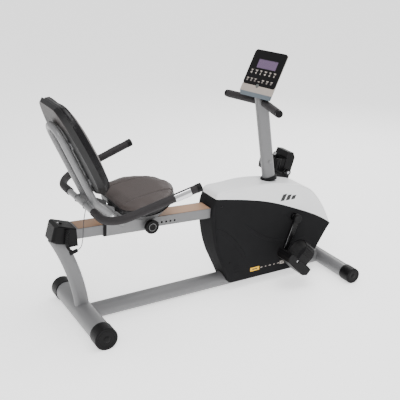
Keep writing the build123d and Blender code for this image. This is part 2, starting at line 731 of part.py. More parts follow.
# --- seat carriage ----------------------------------------------------------
SLEEVE_BACK, SLEEVE_FRONT = -189.0, 27.0
with BuildPart() as slider_sleeve:
    with BuildSketch(rail_station(SLEEVE_BACK)):
        Rectangle(102, 52)
    extrude(amount=SLEEVE_FRONT - SLEEVE_BACK)
    with BuildSketch(rail_side(-50)):
        with Locations((0, -HOLE_DROP)):
            Circle(13)
    extrude(amount=13)
    with BuildSketch(rail_station(SLEEVE_BACK)):
        Rectangle(96, 46)
    extrude(amount=SLEEVE_FRONT - SLEEVE_BACK, mode=Mode.SUBTRACT)
    with BuildSketch(rail_side(-46)):
        with Locations((0, -HOLE_DROP)):
            Circle(4.06)
    extrude(amount=20, mode=Mode.SUBTRACT)

with BuildPart() as slider_bushings:
    with BuildSketch(rail_station(SLEEVE_BACK - 12)):
        Rectangle(102, 52)
    extrude(amount=12)
    with BuildSketch(rail_station(SLEEVE_BACK)):
        Rectangle(96, 46)
    extrude(amount=16)
    with BuildSketch(rail_station(SLEEVE_FRONT - 12)):
        Rectangle(96, 46)
    extrude(amount=12)
    with BuildSketch(rail_station(SLEEVE_BACK - 12)):
        with Locations((0, 0.75)):
            Rectangle(RAIL_W + 1.2, RAIL_H + 2.7)
    extrude(amount=SLEEVE_FRONT - SLEEVE_BACK + 12, mode=Mode.SUBTRACT)

c_back, s_back = cos(radians(BACK_LEAN)), sin(radians(BACK_LEAN))
ARCH_FOOT = 328.0
arch_x, arch_z = BACK_X - s_back * ARCH_FOOT, BACK_Z + c_back * ARCH_FOOT
with BuildPart() as back_frame:
    with BuildLine() as u_line:
        FilletPolyline((REAR_X + 172, -UPRIGHT_Y, 428), (REAR_X + 56.1, -UPRIGHT_Y, 536.1),
                       (REAR_X + arch_x, -UPRIGHT_Y, arch_z), radius=80)
        ThreePointArc(
            (REAR_X + arch_x, -UPRIGHT_Y, arch_z),
            (REAR_X + arch_x - s_back * UPRIGHT_Y, 0, arch_z + c_back * UPRIGHT_Y),
            (REAR_X + arch_x, UPRIGHT_Y, arch_z),
        )
        FilletPolyline((REAR_X + arch_x, UPRIGHT_Y, arch_z), (REAR_X + 56.1, UPRIGHT_Y, 536.1),
                       (REAR_X + 172, UPRIGHT_Y, 428), radius=80)
    with BuildSketch(Plane(origin=u_line.line @ 0, z_dir=u_line.line % 0)):
        Circle(UPRIGHT_R)
        Circle(UPRIGHT_R - 2, mode=Mode.SUBTRACT)
    sweep(path=u_line.line)
    with BuildSketch(rail_station(SLEEVE_BACK - 12)):
        Rectangle(102, 52)
    extrude(amount=230, mode=Mode.SUBTRACT)


def seat_outline(rear, front, half):
    """Straight back edge and a curve round the sides and the front."""
    length = front - rear
    spots = [(rear, 0.5 * half), (rear + 0.05 * length, 0.75 * half), (rear + 0.2 * length, 0.93 * half),
             (rear + 0.45 * length, half), (rear + 0.68 * length, 0.84 * half),
             (rear + 0.9 * length, 0.5 * half), (front, 0)]
    flip = [(x, -y) for x, y in reversed(spots[:-1])]
    Line(flip[-1], spots[0])
    Spline(*spots, *flip)


with BuildPart() as seat_cushion:
    with BuildSketch(seat_plane(-45)):
        with BuildLine():
            seat_outline(-12, 265, 187)
        make_face()
    extrude(amount=35)
    with BuildSketch(seat_plane(-10)):
        with BuildLine():
            seat_outline(-12, 265, 187)
        make_face()
    with BuildSketch(seat_plane(0)):
        with BuildLine():
            seat_outline(-4, 255, 178)
        make_face()
    loft()

with BuildPart() as seat_pan:
    with BuildSketch(seat_plane(-92)):
        with BuildLine():
            seat_outline(62, 200, 118)
        make_face()
    with BuildSketch(seat_plane(-45)):
        with BuildLine():
            seat_outline(2, 258, 180)
        make_face()
    loft()
    with BuildLine() as low_line:
        FilletPolyline((REAR_X + 172, -UPRIGHT_Y, 428), (REAR_X + 56.1, -UPRIGHT_Y, 536.1),
                       (REAR_X + arch_x, -UPRIGHT_Y, arch_z), radius=80)
    for y in (-UPRIGHT_Y, UPRIGHT_Y):
        shift = Vector(0, y + UPRIGHT_Y, 0)
        start = low_line.line @ 0
        with BuildSketch(Plane(origin=start + shift, z_dir=low_line.line % 0)):
            Circle(UPRIGHT_R + 0.5)
        extrude(amount=120, mode=Mode.SUBTRACT)

with BuildPart() as frame_brackets:
    for y in (UPRIGHT_Y - UPRIGHT_R, 4 - UPRIGHT_Y + UPRIGHT_R):
        with BuildSketch(side(y)):
            with BuildLine():
                Polyline((104, 425), (306, 415), (306, 490), (160, 490), (98, 520), (34, 549),
                         (8, 545), (10, 520), (84, 476), close=True)
            make_face()
            with Locations((BAR_X - 3 * cos(radians(BAR_TILT)), BAR_Z - 3 * sin(radians(BAR_TILT)))):
                Circle(BAR_R, mode=Mode.SUBTRACT)
        extrude(amount=4)
    with BuildSketch(rail_station(SLEEVE_BACK - 12)):
        Rectangle(110, 52)
    extrude(amount=260, mode=Mode.SUBTRACT)
    add(seat_pan.part, mode=Mode.SUBTRACT)
    add(seat_cushion.part, mode=Mode.SUBTRACT)
    with BuildSketch(back_plane(UPRIGHT_R + 0.05)):
        with Locations((0, 307), (0, 141)):
            RectangleRounded(172, 28, 6)
    extrude(amount=3.95)


def back_outline(inset, drop):
    """Straight foot and head, a curve up each side."""
    spots = [(96 - inset, 76 + drop), (152 - inset, 96 + drop), (190 - inset, 140), (206 - inset, 235),
             (190 - inset, 340), (160 - inset, 420 - drop), (118 - 0.6 * inset, 458 - drop),
             (88 - 0.4 * inset, 470 - drop)]
    flip = [(-x, y) for x, y in spots]
    Line(flip[0], spots[0])
    Spline(*spots)
    Line(spots[-1], flip[-1])
    Spline(*flip)


with BuildPart() as back_shell:
    with BuildSketch(back_plane(UPRIGHT_R + 4)):
        with BuildLine():
            back_outline(34, 6)
        make_face()
    with BuildSketch(back_plane(36)):
        with BuildLine():
            back_outline(3, 1)
        make_face()
    loft()

with BuildPart() as back_pad:
    with BuildSketch(back_plane(36)):
        with BuildLine():
            back_outline(0, 0)
        make_face()
    extrude(amount=20)
    with BuildSketch(back_plane(56)):
        with BuildLine():
            back_outline(0, 0)
        make_face()
    with BuildSketch(back_plane(66)):
        with BuildLine():
            back_outline(9, 6)
        make_face()
    loft()


def bar_run(sign, first_y):
    corner, end = bar_point(-3, sign * 281), bar_point(352, sign * 323.5)
    return [bar_point(-3, sign * first_y), corner, end]


with BuildPart() as seat_bar:
    with BuildLine() as bar_line:
        FilletPolyline(*reversed(bar_run(1, 0)[1:]), *bar_run(-1, 0)[1:], radius=99)
    with BuildSketch(Plane(origin=bar_line.line @ 0, z_dir=bar_line.line % 0)):
        Circle(BAR_R)
        Circle(BAR_R - 2, mode=Mode.SUBTRACT)
    sweep(path=bar_line.line)

with BuildPart() as seat_foam:
    for sign in (-1, 1):
        with BuildLine() as foam_line:
            FilletPolyline(*bar_run(sign, 130), radius=99)
        with BuildSketch(Plane(origin=foam_line.line @ 0, z_dir=foam_line.line % 0)):
            Circle(FOAM_R)
            Circle(BAR_R, mode=Mode.SUBTRACT)
        sweep(path=foam_line.line)

with BuildPart() as seat_bar_caps:
    for sign in (-1, 1):
        corner, end = bar_run(sign, 130)[1:]
        along = (end - corner).normalized()
        add(grip_on(end, end + along * 20, 17, 0).part)

with BuildPart() as pulse_plates:
    for sign in (-1, 1):
        corner, end = bar_run(sign, 130)[1:]
        along = (end - corner).normalized()
        frame = Plane(origin=end - along * 92, x_dir=(0, sign, 0), z_dir=along)
        with BuildSketch(frame):
            with BuildLine():
                CenterArc((0, 0), FOAM_R + 1.5, -62, 124)
                CenterArc((0, 0), FOAM_R, -62, 124)
                for a in (-62, 62):
                    Line((FOAM_R * cos(radians(a)), FOAM_R * sin(radians(a))),
                         ((FOAM_R + 1.5) * cos(radians(a)), (FOAM_R + 1.5) * sin(radians(a))))
            make_face()
        extrude(amount=66)

with BuildPart() as adjust_knob:
    with BuildSketch(rail_side(-45.6)):
        with Locations((0, -HOLE_DROP)):
            Circle(4)
    extrude(amount=30)
    with BuildSketch(rail_side(-64.5)):
        with Locations((0, -HOLE_DROP)):
            Circle(15)
    extrude(amount=4)
    with BuildSketch(rail_side(-68)):
        with Locations((0, -HOLE_DROP)):
            Circle(30)
    extrude(amount=15)
    fillet(adjust_knob.edges().filter_by(GeomType.CIRCLE).group_by(Axis.Y)[0], 4)
    with BuildSketch(rail_side(-81.5)):
        with Locations((0, -HOLE_DROP)):
            Circle(21)
            Circle(17, mode=Mode.SUBTRACT)
    extrude(amount=3, mode=Mode.SUBTRACT)

# --- pulse lead -------------------------------------------------------------
LEAD_Y = -60.0
lead_path = cord_path([
    (REAR_X + 15.6, LEAD_Y, 521.2), (REAR_X + 6, LEAD_Y, 483), (REAR_X + 1, LEAD_Y, 440),
    (REAR_X - 3, LEAD_Y, 397), (REAR_X - 9, LEAD_Y, 372), (REAR_X - 16, LEAD_Y, 359.5),
    (REAR_X - 27.9, LEAD_Y, 355.7),
])
with BuildPart() as pulse_lead:
    with BuildSketch(Plane(origin=lead_path.line @ 0, z_dir=lead_path.line % 0)):
        Circle(1.5)
    sweep(path=lead_path.line)

plug_axis = Vector(-11.9, 0, -3.8).normalized()
plug_start = Vector(REAR_X - 27.9, LEAD_Y, 355.7)
coil_axis = Vector(-0.59, 0, 0.8074)
coil_start = plug_start + plug_axis * 23 + coil_axis * 12
with BuildPart() as lead_plug:
    with BuildSketch(Plane(origin=plug_start, x_dir=(0, 1, 0), z_dir=plug_axis)):
        RectangleRounded(12, 13, 3)
    extrude(amount=34)
    with BuildSketch(Plane(origin=plug_start + plug_axis * 23, z_dir=coil_axis)):
        Circle(7)
    extrude(amount=12)

coil_points = [
    tuple(coil_start), tuple(coil_start + coil_axis * 20.5),
    (REAR_X - 72.6, LEAD_Y, 404), (REAR_X - 63, -54.6, 437),
]
coil_path = cord_path(coil_points)
with BuildPart() as coil_lead:
    with BuildSketch(Plane(origin=coil_path.line @ 0, z_dir=coil_path.line % 0)):
        Circle(6)
    sweep(path=coil_path.line)

with rear_end_cap:
    with BuildSketch(Plane(origin=coil_path.line @ 1, z_dir=coil_path.line % 1)):
        Circle(9)
    extrude(amount=9)

# --- files ------------------------------------------------------------------
PIECES = {
    "main_tube": main_tube, "rear_stabiliser": rear_stabiliser, "front_stabiliser": front_stabiliser,
    "stabiliser_caps": stabiliser_caps, "seat_rail": seat_rail, "track_strip": track_strip,
    "rear_post": rear_post, "rear_end_cap": rear_end_cap, "frame_plates": frame_plates,
    "mast": mast, "mast_collar": mast_collar, "right_shell": right_shell, "left_shell": left_shell,
    "top_cover": top_cover, "bottom_bracket": bottom_bracket, "bearings": bearings,
    "crank_axle": crank_axle, "drive_pulley": drive_pulley, "right_crank": right_crank,
    "left_crank": left_crank, "crank_caps": crank_caps, "pedal_spindles": pedal_spindles,
    "right_pedal": right_pedal, "left_pedal": left_pedal, "right_strap": right_strap,
    "left_strap": left_strap, "flywheel": flywheel, "flywheel_axle": flywheel_axle,
    "drive_belt": drive_belt, "magnet_arm": magnet_arm, "brake_magnets": brake_magnets,
    "console_bar": console_bar, "console_foam": console_foam, "console_bar_caps": console_bar_caps,
    "console_housing": console_housing, "console_panel": console_panel,
    "console_screen": console_screen, "start_key": start_key, "slider_sleeve": slider_sleeve,
    "slider_bushings": slider_bushings, "back_frame": back_frame, "frame_brackets": frame_brackets,
    "seat_cushion": seat_cushion, "seat_pan": seat_pan, "back_shell": back_shell,
    "back_pad": back_pad, "seat_bar": seat_bar, "seat_foam": seat_foam,
    "seat_bar_caps": seat_bar_caps, "pulse_plates": pulse_plates, "adjust_knob": adjust_knob,
    "pulse_lead": pulse_lead, "lead_plug": lead_plug, "coil_lead": coil_lead,
}
for number, key in enumerate(keys, 1):
    PIECES[f"key_{number}"] = key
for name, piece in PIECES.items():
    piece.part.label = name
    export_step(piece.part, f"parts/{name}.step")
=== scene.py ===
from math import atan2, cos, exp, hypot, pi, radians, sin

import bmesh
import bpy
from mathutils import Matrix, Vector
from mathutils.bvhtree import BVHTree


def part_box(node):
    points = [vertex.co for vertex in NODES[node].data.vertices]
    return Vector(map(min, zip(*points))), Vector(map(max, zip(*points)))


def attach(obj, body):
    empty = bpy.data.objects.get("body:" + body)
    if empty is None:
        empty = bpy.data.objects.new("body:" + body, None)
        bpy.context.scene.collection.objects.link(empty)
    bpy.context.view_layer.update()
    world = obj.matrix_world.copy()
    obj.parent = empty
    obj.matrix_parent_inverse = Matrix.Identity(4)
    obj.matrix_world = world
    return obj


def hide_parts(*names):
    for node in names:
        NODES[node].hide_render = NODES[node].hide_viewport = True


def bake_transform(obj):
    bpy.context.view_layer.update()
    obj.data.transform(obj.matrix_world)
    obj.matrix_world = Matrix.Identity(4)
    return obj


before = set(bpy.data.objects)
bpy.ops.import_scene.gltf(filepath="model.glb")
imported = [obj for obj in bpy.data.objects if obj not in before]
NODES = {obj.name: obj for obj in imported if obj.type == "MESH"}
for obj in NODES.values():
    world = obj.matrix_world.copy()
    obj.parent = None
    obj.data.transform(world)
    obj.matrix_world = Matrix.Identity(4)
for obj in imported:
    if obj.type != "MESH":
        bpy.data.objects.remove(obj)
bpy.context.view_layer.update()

# Places shared with the CAD, in metres; lengths run from the rear stabiliser's axis at REAR_X.
REAR_X = -0.5573
SEAT_TILT, SEAT_ORIGIN = radians(7.0), Vector((REAR_X + 0.150, 0, 0.526))
BACK_LEAN, BACK_ORIGIN = radians(23.11), Vector((REAR_X + 0.0715, 0, 0.500))
CONSOLE_TILT, CONSOLE_YAW = radians(30.9), radians(12.7)
CONSOLE_ORIGIN = Vector((REAR_X + 0.8697, 0, 0.9734))
CRANK_X, CRANK_Z, CRANK_LEN = 1.0065, 0.2947, 0.1675
CRANK_TURN = atan2(-153.9, -66.2)
CRANK_FACE_Y, PEDAL_Y = 0.0976, 0.158
CASE_HALF = 0.065

# Both sides of the bike: which way is out, and the side's name.
SIDES = ((-1, "right"), (1, "left"))
# Each stabiliser: place forward, height, half length, cap radius and name.
STABILISERS = ((0.0, 0.0465, 0.2597, 0.048, "rear"), (1.2048, 0.035, 0.2719, 0.0358, "front"))
# Each pedal: which way is out, side, tilt in degrees, which end of the crank, strap height.
PEDALS = ((-1, "right", -43.0, 1, 0.084), (1, "left", 75.0, -1, 0.100))
STRAP_HALF, STRAP_FOOT, STRAP_RIBS = 0.044, 0.022, 11

# Casing, as (forward, up) places: centre, start and end of each crease, edge bead, screws.
CASE_CREASES = (((1.0259, 0.5403), (0.7456, 0.3117), (1.076, 0.1767)),
                ((0.3712, -0.0297), (0.6037, 0.3168), (0.7569, 0.1293)))
CASE_BORDER = ((0.6026, 0.444), (0.595, 0.360), (0.604, 0.257), (0.611, 0.194), (0.638, 0.1265),
               (0.678, 0.0755))
CASE_SCREWS = ((0.6255, 0.4152), (0.6702, 0.1376), (1.1804, 0.1964))
# Plain label and plain marks on the casing's right side.
LABEL_X, LABEL_Z = 0.803, 0.0786
MARK_X, MARK_Z = 0.947, 0.398
# Bolts, as (forward, up) places.
MAST_BOLTS = ((0.9207, 0.5975), (0.897, 0.560))
BRACKET_BOLTS = ((0.118, 0.474), (0.232, 0.438), (0.285, 0.436))

# Console face, as (across, up) places on its plane.
KEY_SPOTS, KEY_ROW = (-0.073, -0.050, -0.028, 0.016, 0.042, 0.066), -0.061
SCREEN_A, SCREEN_B, SCREEN_HALF_W, SCREEN_HALF_H = 0.003, 0.019, 0.0566, 0.0206
BEZEL_CORNER, BEZEL_WIRE = 0.003, 0.0007
# More than this far down the console's face plane, the housing is painted blue-grey: painted shade on its
# underside.
UNDERSIDE_SHADE_FROM = 0.110

# Seat cushion: its middle forward, and depths below its top plane.
SEAT_MIDDLE_U, SEAT_MIDDLE_DEPTH = 0.115, 0.024
SEAT_TOP_DEPTH, SEAT_SIDE_DEPTH, SEAT_LOW_DEPTH = 0.012, 0.0165, 0.038
STITCH_COUNT, STITCH_PITCH, STITCH_LENGTH, STITCH_WIRE = 58, 0.0043, 0.0028, 0.00045
STITCH_ASIDE = 0.0042

# Back cushion: its middle up the back, and distances in front of the frame's plane.
BACK_MIDDLE_S, BACK_MIDDLE_N = 0.275, 0.050
BACK_HELD_N, BACK_SEWN_N, BACK_FRONT_N = 0.040, 0.052, 0.0605
BACK_PIPINGS = (("back_rear_piping", 0.0385, 0.0026), ("back_mid_seam", 0.047, 0.0014),
                ("back_front_piping", BACK_FRONT_N, 0.0022))
# The back shell is brown on its rear face above this height up the back, and black elsewhere.
SHELL_BROWN_FROM, SHELL_BROWN_DEPTH = 0.385, 0.0195

# Cushion simulation: the CAD solid is drawn in by SQUEEZE, cut into voxels and blown up; no point
# moves further than its cushion's swell.
SQUEEZE, VOXEL, VOXEL_ROUNDS = 0.97, 0.005, 5
CLOTH_FRAMES, CUSHION_PRESSURE, EVEN_ROUNDS = 20, 4.0, 24
SEAT_SWELL, BACK_SWELL = 0.010, 0.014

# The leads: control points, wire diameters, and the curly lead's coil.
PULSE_ROUTE = [(-0.5417, -0.060, 0.5212), (-0.5513, -0.060, 0.483), (-0.5563, -0.060, 0.440),
               (-0.5603, -0.060, 0.397), (-0.5663, -0.060, 0.372), (-0.5733, -0.060, 0.3595),
               (-0.5852, -0.060, 0.3557)]
CURL_ROUTE = [(-0.61419, -0.060, 0.35839), (-0.62628, -0.060, 0.37494), (-0.6299, -0.060, 0.404),
              (-0.6203, -0.0546, 0.437)]
PULSE_D, PULSE_LENGTH = 0.003, 0.178
CURL_D, CURL_R, CURL_PITCH, CURL_STEPS = 0.0024, 0.0048, 0.0031, 16

# Sections swept along a line, as (across, out) pairs.
CREASE = [(-0.012, -0.0012), (-0.006, 0.0012), (0, 0.0032), (0.006, 0.0012), (0.012, -0.0012), (0, -0.0016)]
VENT_RIB = [(-0.004, -0.001), (-0.002, 0.0012), (0.002, 0.0012), (0.004, -0.001)]
KNOB_RING = [(-0.0014, -0.0006), (-0.0009, 0.0006), (0.0009, 0.0006), (0.0014, -0.0006)]
CAP_RING = [(-0.0016, -0.0008), (-0.0008, 0.0010), (0.0008, 0.0010), (0.0016, -0.0008)]
STRAP_RIB = [(-0.0028, -0.0010), (-0.0018, 0.0016), (0.0018, 0.0016), (0.0028, -0.0010)]


# --- camera, floor and light ------------------------------------------------
def add_camera():
    """Looks down at the bike from behind its right side."""
    data = bpy.data.cameras.new("camera")
    data.lens, data.sensor_width = 71.54, 36.0
    camera = bpy.data.objects.new("camera", data)
    forward = Vector((0.4485, 0.8168, -0.3629)).normalized()
    right = forward.cross(Vector((0, 0, 1))).normalized()
    up = right.cross(forward)
    turn = Matrix((right, up, -forward)).transposed().to_4x4()
    camera.matrix_world = Matrix.Translation((REAR_X - 0.9753, -2.7887, 1.6763)) @ turn
    bpy.context.scene.collection.objects.link(camera)
    bpy.context.scene.camera = camera


def add_light(name, place, aim, size, power):
    """A white area lamp at a place, turned towards another."""
    data = bpy.data.lights.new(name, "AREA")
    data.shape, data.size, data.size_y = "RECTANGLE", size[0], size[1]
    data.energy = power
    lamp = bpy.data.objects.new(name, data)
    lamp.location = place
    lamp.rotation_euler = (Vector(aim) - Vector(place)).to_track_quat("-Z", "Y").to_euler()
    bpy.context.scene.collection.objects.link(lamp)


def add_studio():
    """Even white surroundings, a pale floor and three soft lamps."""
    world = bpy.data.worlds.new("studio")
    bpy.context.scene.world = world
    world.use_nodes = True
    world.node_tree.nodes["Background"].inputs["Color"].default_value = (1, 1, 1, 1)
    world.node_tree.nodes["Background"].inputs["Strength"].default_value = 0.9
    mesh = bpy.data.meshes.new("floor")
    far = 14.0
    mesh.from_pydata([(-far, -far, 0), (far, -far, 0), (far, far, 0), (-far, far, 0)], [],
                     [(0, 1, 2, 3)])
    floor = bpy.data.objects.new("floor", mesh)
    bpy.context.scene.collection.objects.link(floor)
    mat = bpy.data.materials.new("floor")
    mat.use_nodes = True
    bsdf = mat.node_tree.nodes["Principled BSDF"]
    bsdf.inputs["Base Color"].default_value = (0.93, 0.93, 0.93, 1)
    bsdf.inputs["Roughness"].default_value = 0.9
    bsdf.inputs["Emission Color"].default_value = (1, 1, 1, 1)
    bsdf.inputs["Emission Strength"].default_value = 1.0
    mesh.materials.append(mat)
    add_light("key", (-1.8, -2.6, 2.9), (0, 0, 0.4), (1.4, 1.4), 70)
    add_light("top", (0.3, -0.3, 3.2), (0, 0, 0.3), (2.0, 2.0), 70)
    add_light("rim", (2.2, 1.6, 1.9), (0, 0, 0.5), (1.2, 1.6), 35)


# --- materials --------------------------------------------------------------
def surface(name, colour, rough, metal=0.0, grain=0.0, grain_size=400.0, tint=0.0, smudge=0.06,
            coat=0.0, specular=None):
    """Procedural finish: slow tint, roughness patches and fine grain in the bump."""
    mat = bpy.data.materials.new(name)
    mat.use_nodes = True
    tree = mat.node_tree
    bsdf = tree.nodes["Principled BSDF"]
    place = tree.nodes.new("ShaderNodeTexCoord")
    slow = tree.nodes.new("ShaderNodeTexNoise")
    slow.inputs["Scale"].default_value = 9.0
    slow.inputs["Detail"].default_value = 4.0
    tree.links.new(place.outputs["Object"], slow.inputs["Vector"])
    ramp = tree.nodes.new("ShaderNodeMapRange")
    ramp.inputs["To Min"].default_value = max(0.02, rough - smudge)
    ramp.inputs["To Max"].default_value = min(1.0, rough + smudge)
    tree.links.new(slow.outputs["Fac"], ramp.inputs["Value"])
    tree.links.new(ramp.outputs["Result"], bsdf.inputs["Roughness"])
    mix = tree.nodes.new("ShaderNodeMix")
    mix.data_type = "RGBA"
    dark = [c * (1 - tint) for c in colour]
    light = [min(1.0, c * (1 + tint)) for c in colour]
    mix.inputs["A"].default_value = (*dark, 1)
    mix.inputs["B"].default_value = (*light, 1)
    tree.links.new(slow.outputs["Fac"], mix.inputs["Factor"])
    tree.links.new(mix.outputs["Result"], bsdf.inputs["Base Color"])
    bsdf.inputs["Metallic"].default_value = metal
    bsdf.inputs["Coat Weight"].default_value = coat
    bsdf.inputs["Coat Roughness"].default_value = 0.12
    if specular is not None:
        bsdf.inputs["Specular IOR Level"].default_value = specular
    if grain:
        fine = tree.nodes.new("ShaderNodeTexNoise")
        fine.inputs["Scale"].default_value = grain_size
        fine.inputs["Detail"].default_value = 3.0
        tree.links.new(place.outputs["Object"], fine.inputs["Vector"])
        bump = tree.nodes.new("ShaderNodeBump")
        bump.inputs["Strength"].default_value = grain
        bump.inputs["Distance"].default_value = 0.0006
        tree.links.new(fine.outputs["Fac"], bump.inputs["Height"])
        tree.links.new(bump.outputs["Normal"], bsdf.inputs["Normal"])
    return mat


def zone(mat, other, direction, level, soft):
    """Past a plane across the part, the base colour turns to another one."""
    tree = mat.node_tree
    bsdf = tree.nodes["Principled BSDF"]
    base = bsdf.inputs["Base Color"].links[0].from_socket
    place = tree.nodes.new("ShaderNodeTexCoord")
    along = tree.nodes.new("ShaderNodeVectorMath")
    along.operation = "DOT_PRODUCT"
    along.inputs[1].default_value = direction
    tree.links.new(place.outputs["Object"], along.inputs[0])
    edge = tree.nodes.new("ShaderNodeMapRange")
    edge.inputs["From Min"].default_value = level - soft
    edge.inputs["From Max"].default_value = level + soft
    tree.links.new(along.outputs["Value"], edge.inputs["Value"])
    mix = tree.nodes.new("ShaderNodeMix")
    mix.data_type = "RGBA"
    mix.inputs["B"].default_value = (*other, 1)
    tree.links.new(edge.outputs["Result"], mix.inputs["Factor"])
    tree.links.new(base, mix.inputs["A"])
    tree.links.new(mix.outputs["Result"], bsdf.inputs["Base Color"])
    return mat


BLACK = (0.0042, 0.0040, 0.0044)
MATS = {
    "frame": surface("frame_paint", (0.132, 0.132, 0.135), 0.42, grain=0.25, grain_size=700, tint=0.04,
                     coat=0.1),
    "sleeve": surface("sleeve_paint", (0.165, 0.165, 0.168), 0.38, grain=0.25, grain_size=700, tint=0.04,
                      coat=0.1),
    "black": surface("black_plastic", BLACK, 0.45, grain=0.5, grain_size=900, tint=0.2, specular=0.12),
    "gloss": surface("gloss_black", BLACK, 0.28, tint=0.2, specular=0.12),
    "charcoal": surface("charcoal_shell", (0.0125, 0.0125, 0.0132), 0.78, grain=0.4, grain_size=1100,
                        tint=0.2, specular=0.04),
    "white": surface("white_cover", (0.76, 0.762, 0.77), 0.32, tint=0.02, coat=0.15),
    "foam": surface("foam_grip", (0.014, 0.0122, 0.0132), 0.7, grain=0.9, grain_size=1400, tint=0.25,
                    specular=0.3),
    "chrome": surface("chrome_plate", (0.62, 0.62, 0.63), 0.16, metal=1.0, tint=0.03, smudge=0.05),
    "steel": surface("turned_steel", (0.35, 0.35, 0.36), 0.32, metal=1.0, grain=0.3, tint=0.06),
    "iron": surface("cast_iron", (0.12, 0.12, 0.13), 0.5, metal=1.0, grain=0.7, tint=0.15),
    "leather": surface("pad_leather", (0.0042, 0.0038, 0.0046), 0.34, grain=0.5, grain_size=450, tint=0.3,
                       specular=0.20, smudge=0.08),
    "taupe": surface("seat_leather", (0.046, 0.036, 0.034), 0.52, grain=0.7, grain_size=500, tint=0.14,
                     specular=0.25),
    "shell": surface("back_shell", (0.024, 0.019, 0.018), 0.5, grain=0.5, grain_size=800, tint=0.12,
                     specular=0.25),
    "console": surface("console_body", (0.30, 0.262, 0.232), 0.4, grain=0.2, grain_size=900, tint=0.03),
    "screen": surface("screen", (0.105, 0.070, 0.125), 0.25, tint=0.06, specular=0.3),
    "key": surface("key_rubber", (0.12, 0.105, 0.10), 0.5, grain=0.3, tint=0.1),
    "start": surface("start_rubber", (0.075, 0.080, 0.075), 0.5, grain=0.3, tint=0.1),
    "belt": surface("belt", (0.01, 0.01, 0.01), 0.6, grain=0.4, tint=0.1),
    "strip": surface("wear_strip", (0.30, 0.175, 0.105), 0.45, grain=0.2, tint=0.05),
    "lead": surface("lead_grey", (0.022, 0.022, 0.022), 0.5, grain=0.2, tint=0.1),
    "vinyl": surface("seat_side_vinyl", BLACK, 0.4, grain=0.6, grain_size=500, tint=0.2, specular=0.25),
    "thread": surface("seat_thread", (0.030, 0.024, 0.023), 0.7, tint=0.2),
    # Near-black for the flat crosses on screw heads: painted shade standing in for the recess.
    "recess": surface("screw_recess_shade", (0.002, 0.002, 0.002), 0.8, tint=0.3, specular=0.1),
    "print": surface("panel_print", (0.36, 0.32, 0.29), 0.6, tint=0.1),
    "segment": surface("screen_segment", (0.090, 0.060, 0.110), 0.4, tint=0.05),
    "label": surface("yellow_label", (0.80, 0.44, 0.0), 0.45, tint=0.05),
    "mark": surface("plain_mark", (0.004, 0.004, 0.004), 0.5, tint=0.1),
    "coil": surface("lead_black", BLACK, 0.4, grain=0.2, tint=0.1, specular=0.25),
}
zone(MATS["shell"], BLACK, (cos(BACK_LEAN), 0, sin(BACK_LEAN)),
     BACK_ORIGIN.x * cos(BACK_LEAN) + BACK_ORIGIN.z * sin(BACK_LEAN) + SHELL_BROWN_DEPTH, 0.0006)
zone(MATS["shell"], BLACK, (sin(BACK_LEAN), 0, -cos(BACK_LEAN)),
     BACK_ORIGIN.x * sin(BACK_LEAN) - BACK_ORIGIN.z * cos(BACK_LEAN) - SHELL_BROWN_FROM, 0.02)
# Painted shade: the console housing turns a darker blue-grey on its lower part, below its face.
zone(MATS["console"], (0.075, 0.098, 0.118),
     (-sin(CONSOLE_TILT) * cos(CONSOLE_YAW), -sin(CONSOLE_TILT) * sin(CONSOLE_YAW), -cos(CONSOLE_TILT)),
     UNDERSIDE_SHADE_FROM - CONSOLE_ORIGIN.x * sin(CONSOLE_TILT) * cos(CONSOLE_YAW)
     - CONSOLE_ORIGIN.z * cos(CONSOLE_TILT), 0.001)

FINISH = {
    "main_tube": "frame", "rear_stabiliser": "frame", "front_stabiliser": "frame", "stabiliser_caps": "black",
    "seat_rail": "frame", "track_strip": "strip", "rear_post": "frame", "rear_end_cap": "black",
    "frame_plates": "frame", "mast": "frame", "mast_collar": "black", "right_shell": "charcoal",
    "left_shell": "charcoal", "top_cover": "white", "bottom_bracket": "frame", "bearings": "steel",
    "drive_belt": "belt", "console_bar": "frame", "console_foam": "foam", "console_bar_caps": "gloss",
    "console_housing": "console", "console_panel": "gloss", "console_screen": "screen", "lead_plug": "black",
    "coil_lead": "coil", "crank_axle": "steel", "drive_pulley": "black", "right_crank": "gloss",
    "left_crank": "gloss", "crank_caps": "black", "pedal_spindles": "steel", "flywheel": "iron",
    "flywheel_axle": "steel", "magnet_arm": "steel", "brake_magnets": "steel", "right_pedal": "black",
    "right_strap": "black", "left_pedal": "black", "left_strap": "black", "slider_sleeve": "sleeve",
    "slider_bushings": "black", "back_frame": "sleeve", "frame_brackets": "frame", "seat_cushion": "taupe",
    "seat_pan": "black", "back_shell": "shell", "back_pad": "leather", "seat_bar": "sleeve",
    "seat_foam": "foam", "seat_bar_caps": "black", "pulse_plates": "chrome", "pulse_lead": "lead",
    "adjust_knob": "black", "start_key": "start",
    **{f"key_{k}": "key" for k in range(1, 7)},
}


def dress_cad():
    """Gives every CAD node its finish."""
    for node, finish in FINISH.items():
        mesh = NODES[node].data
        mesh.materials.clear()
        mesh.materials.append(MATS[finish])


# --- shared shape code ------------------------------------------------------
def plane_point(origin, right, up, a, b, n=0.0):
    """A point a to the right and b up on a plane, and n above it."""
    return origin + right * a + up * b + right.cross(up) * n


SEAT_U = Vector((cos(SEAT_TILT), 0, sin(SEAT_TILT)))
SEAT_N = Vector((-sin(SEAT_TILT), 0, cos(SEAT_TILT)))
BACK_S = Vector((-sin(BACK_LEAN), 0, cos(BACK_LEAN)))
BACK_N = Vector((cos(BACK_LEAN), 0, sin(BACK_LEAN)))
FACE_U = Vector((sin(CONSOLE_YAW), -cos(CONSOLE_YAW), 0))
FACE_V = Vector((sin(CONSOLE_TILT) * cos(CONSOLE_YAW), sin(CONSOLE_TILT) * sin(CONSOLE_YAW),
                 cos(CONSOLE_TILT)))


def seat_place(co):
    """Distance forward, height above the cushion's top plane."""
    d = co - SEAT_ORIGIN
    return d.dot(SEAT_U), d.dot(SEAT_N)


def back_place(co):
    """Distance up the back, distance in front of the back frame's plane."""
    d = co - BACK_ORIGIN
    return d.dot(BACK_S), d.dot(BACK_N)


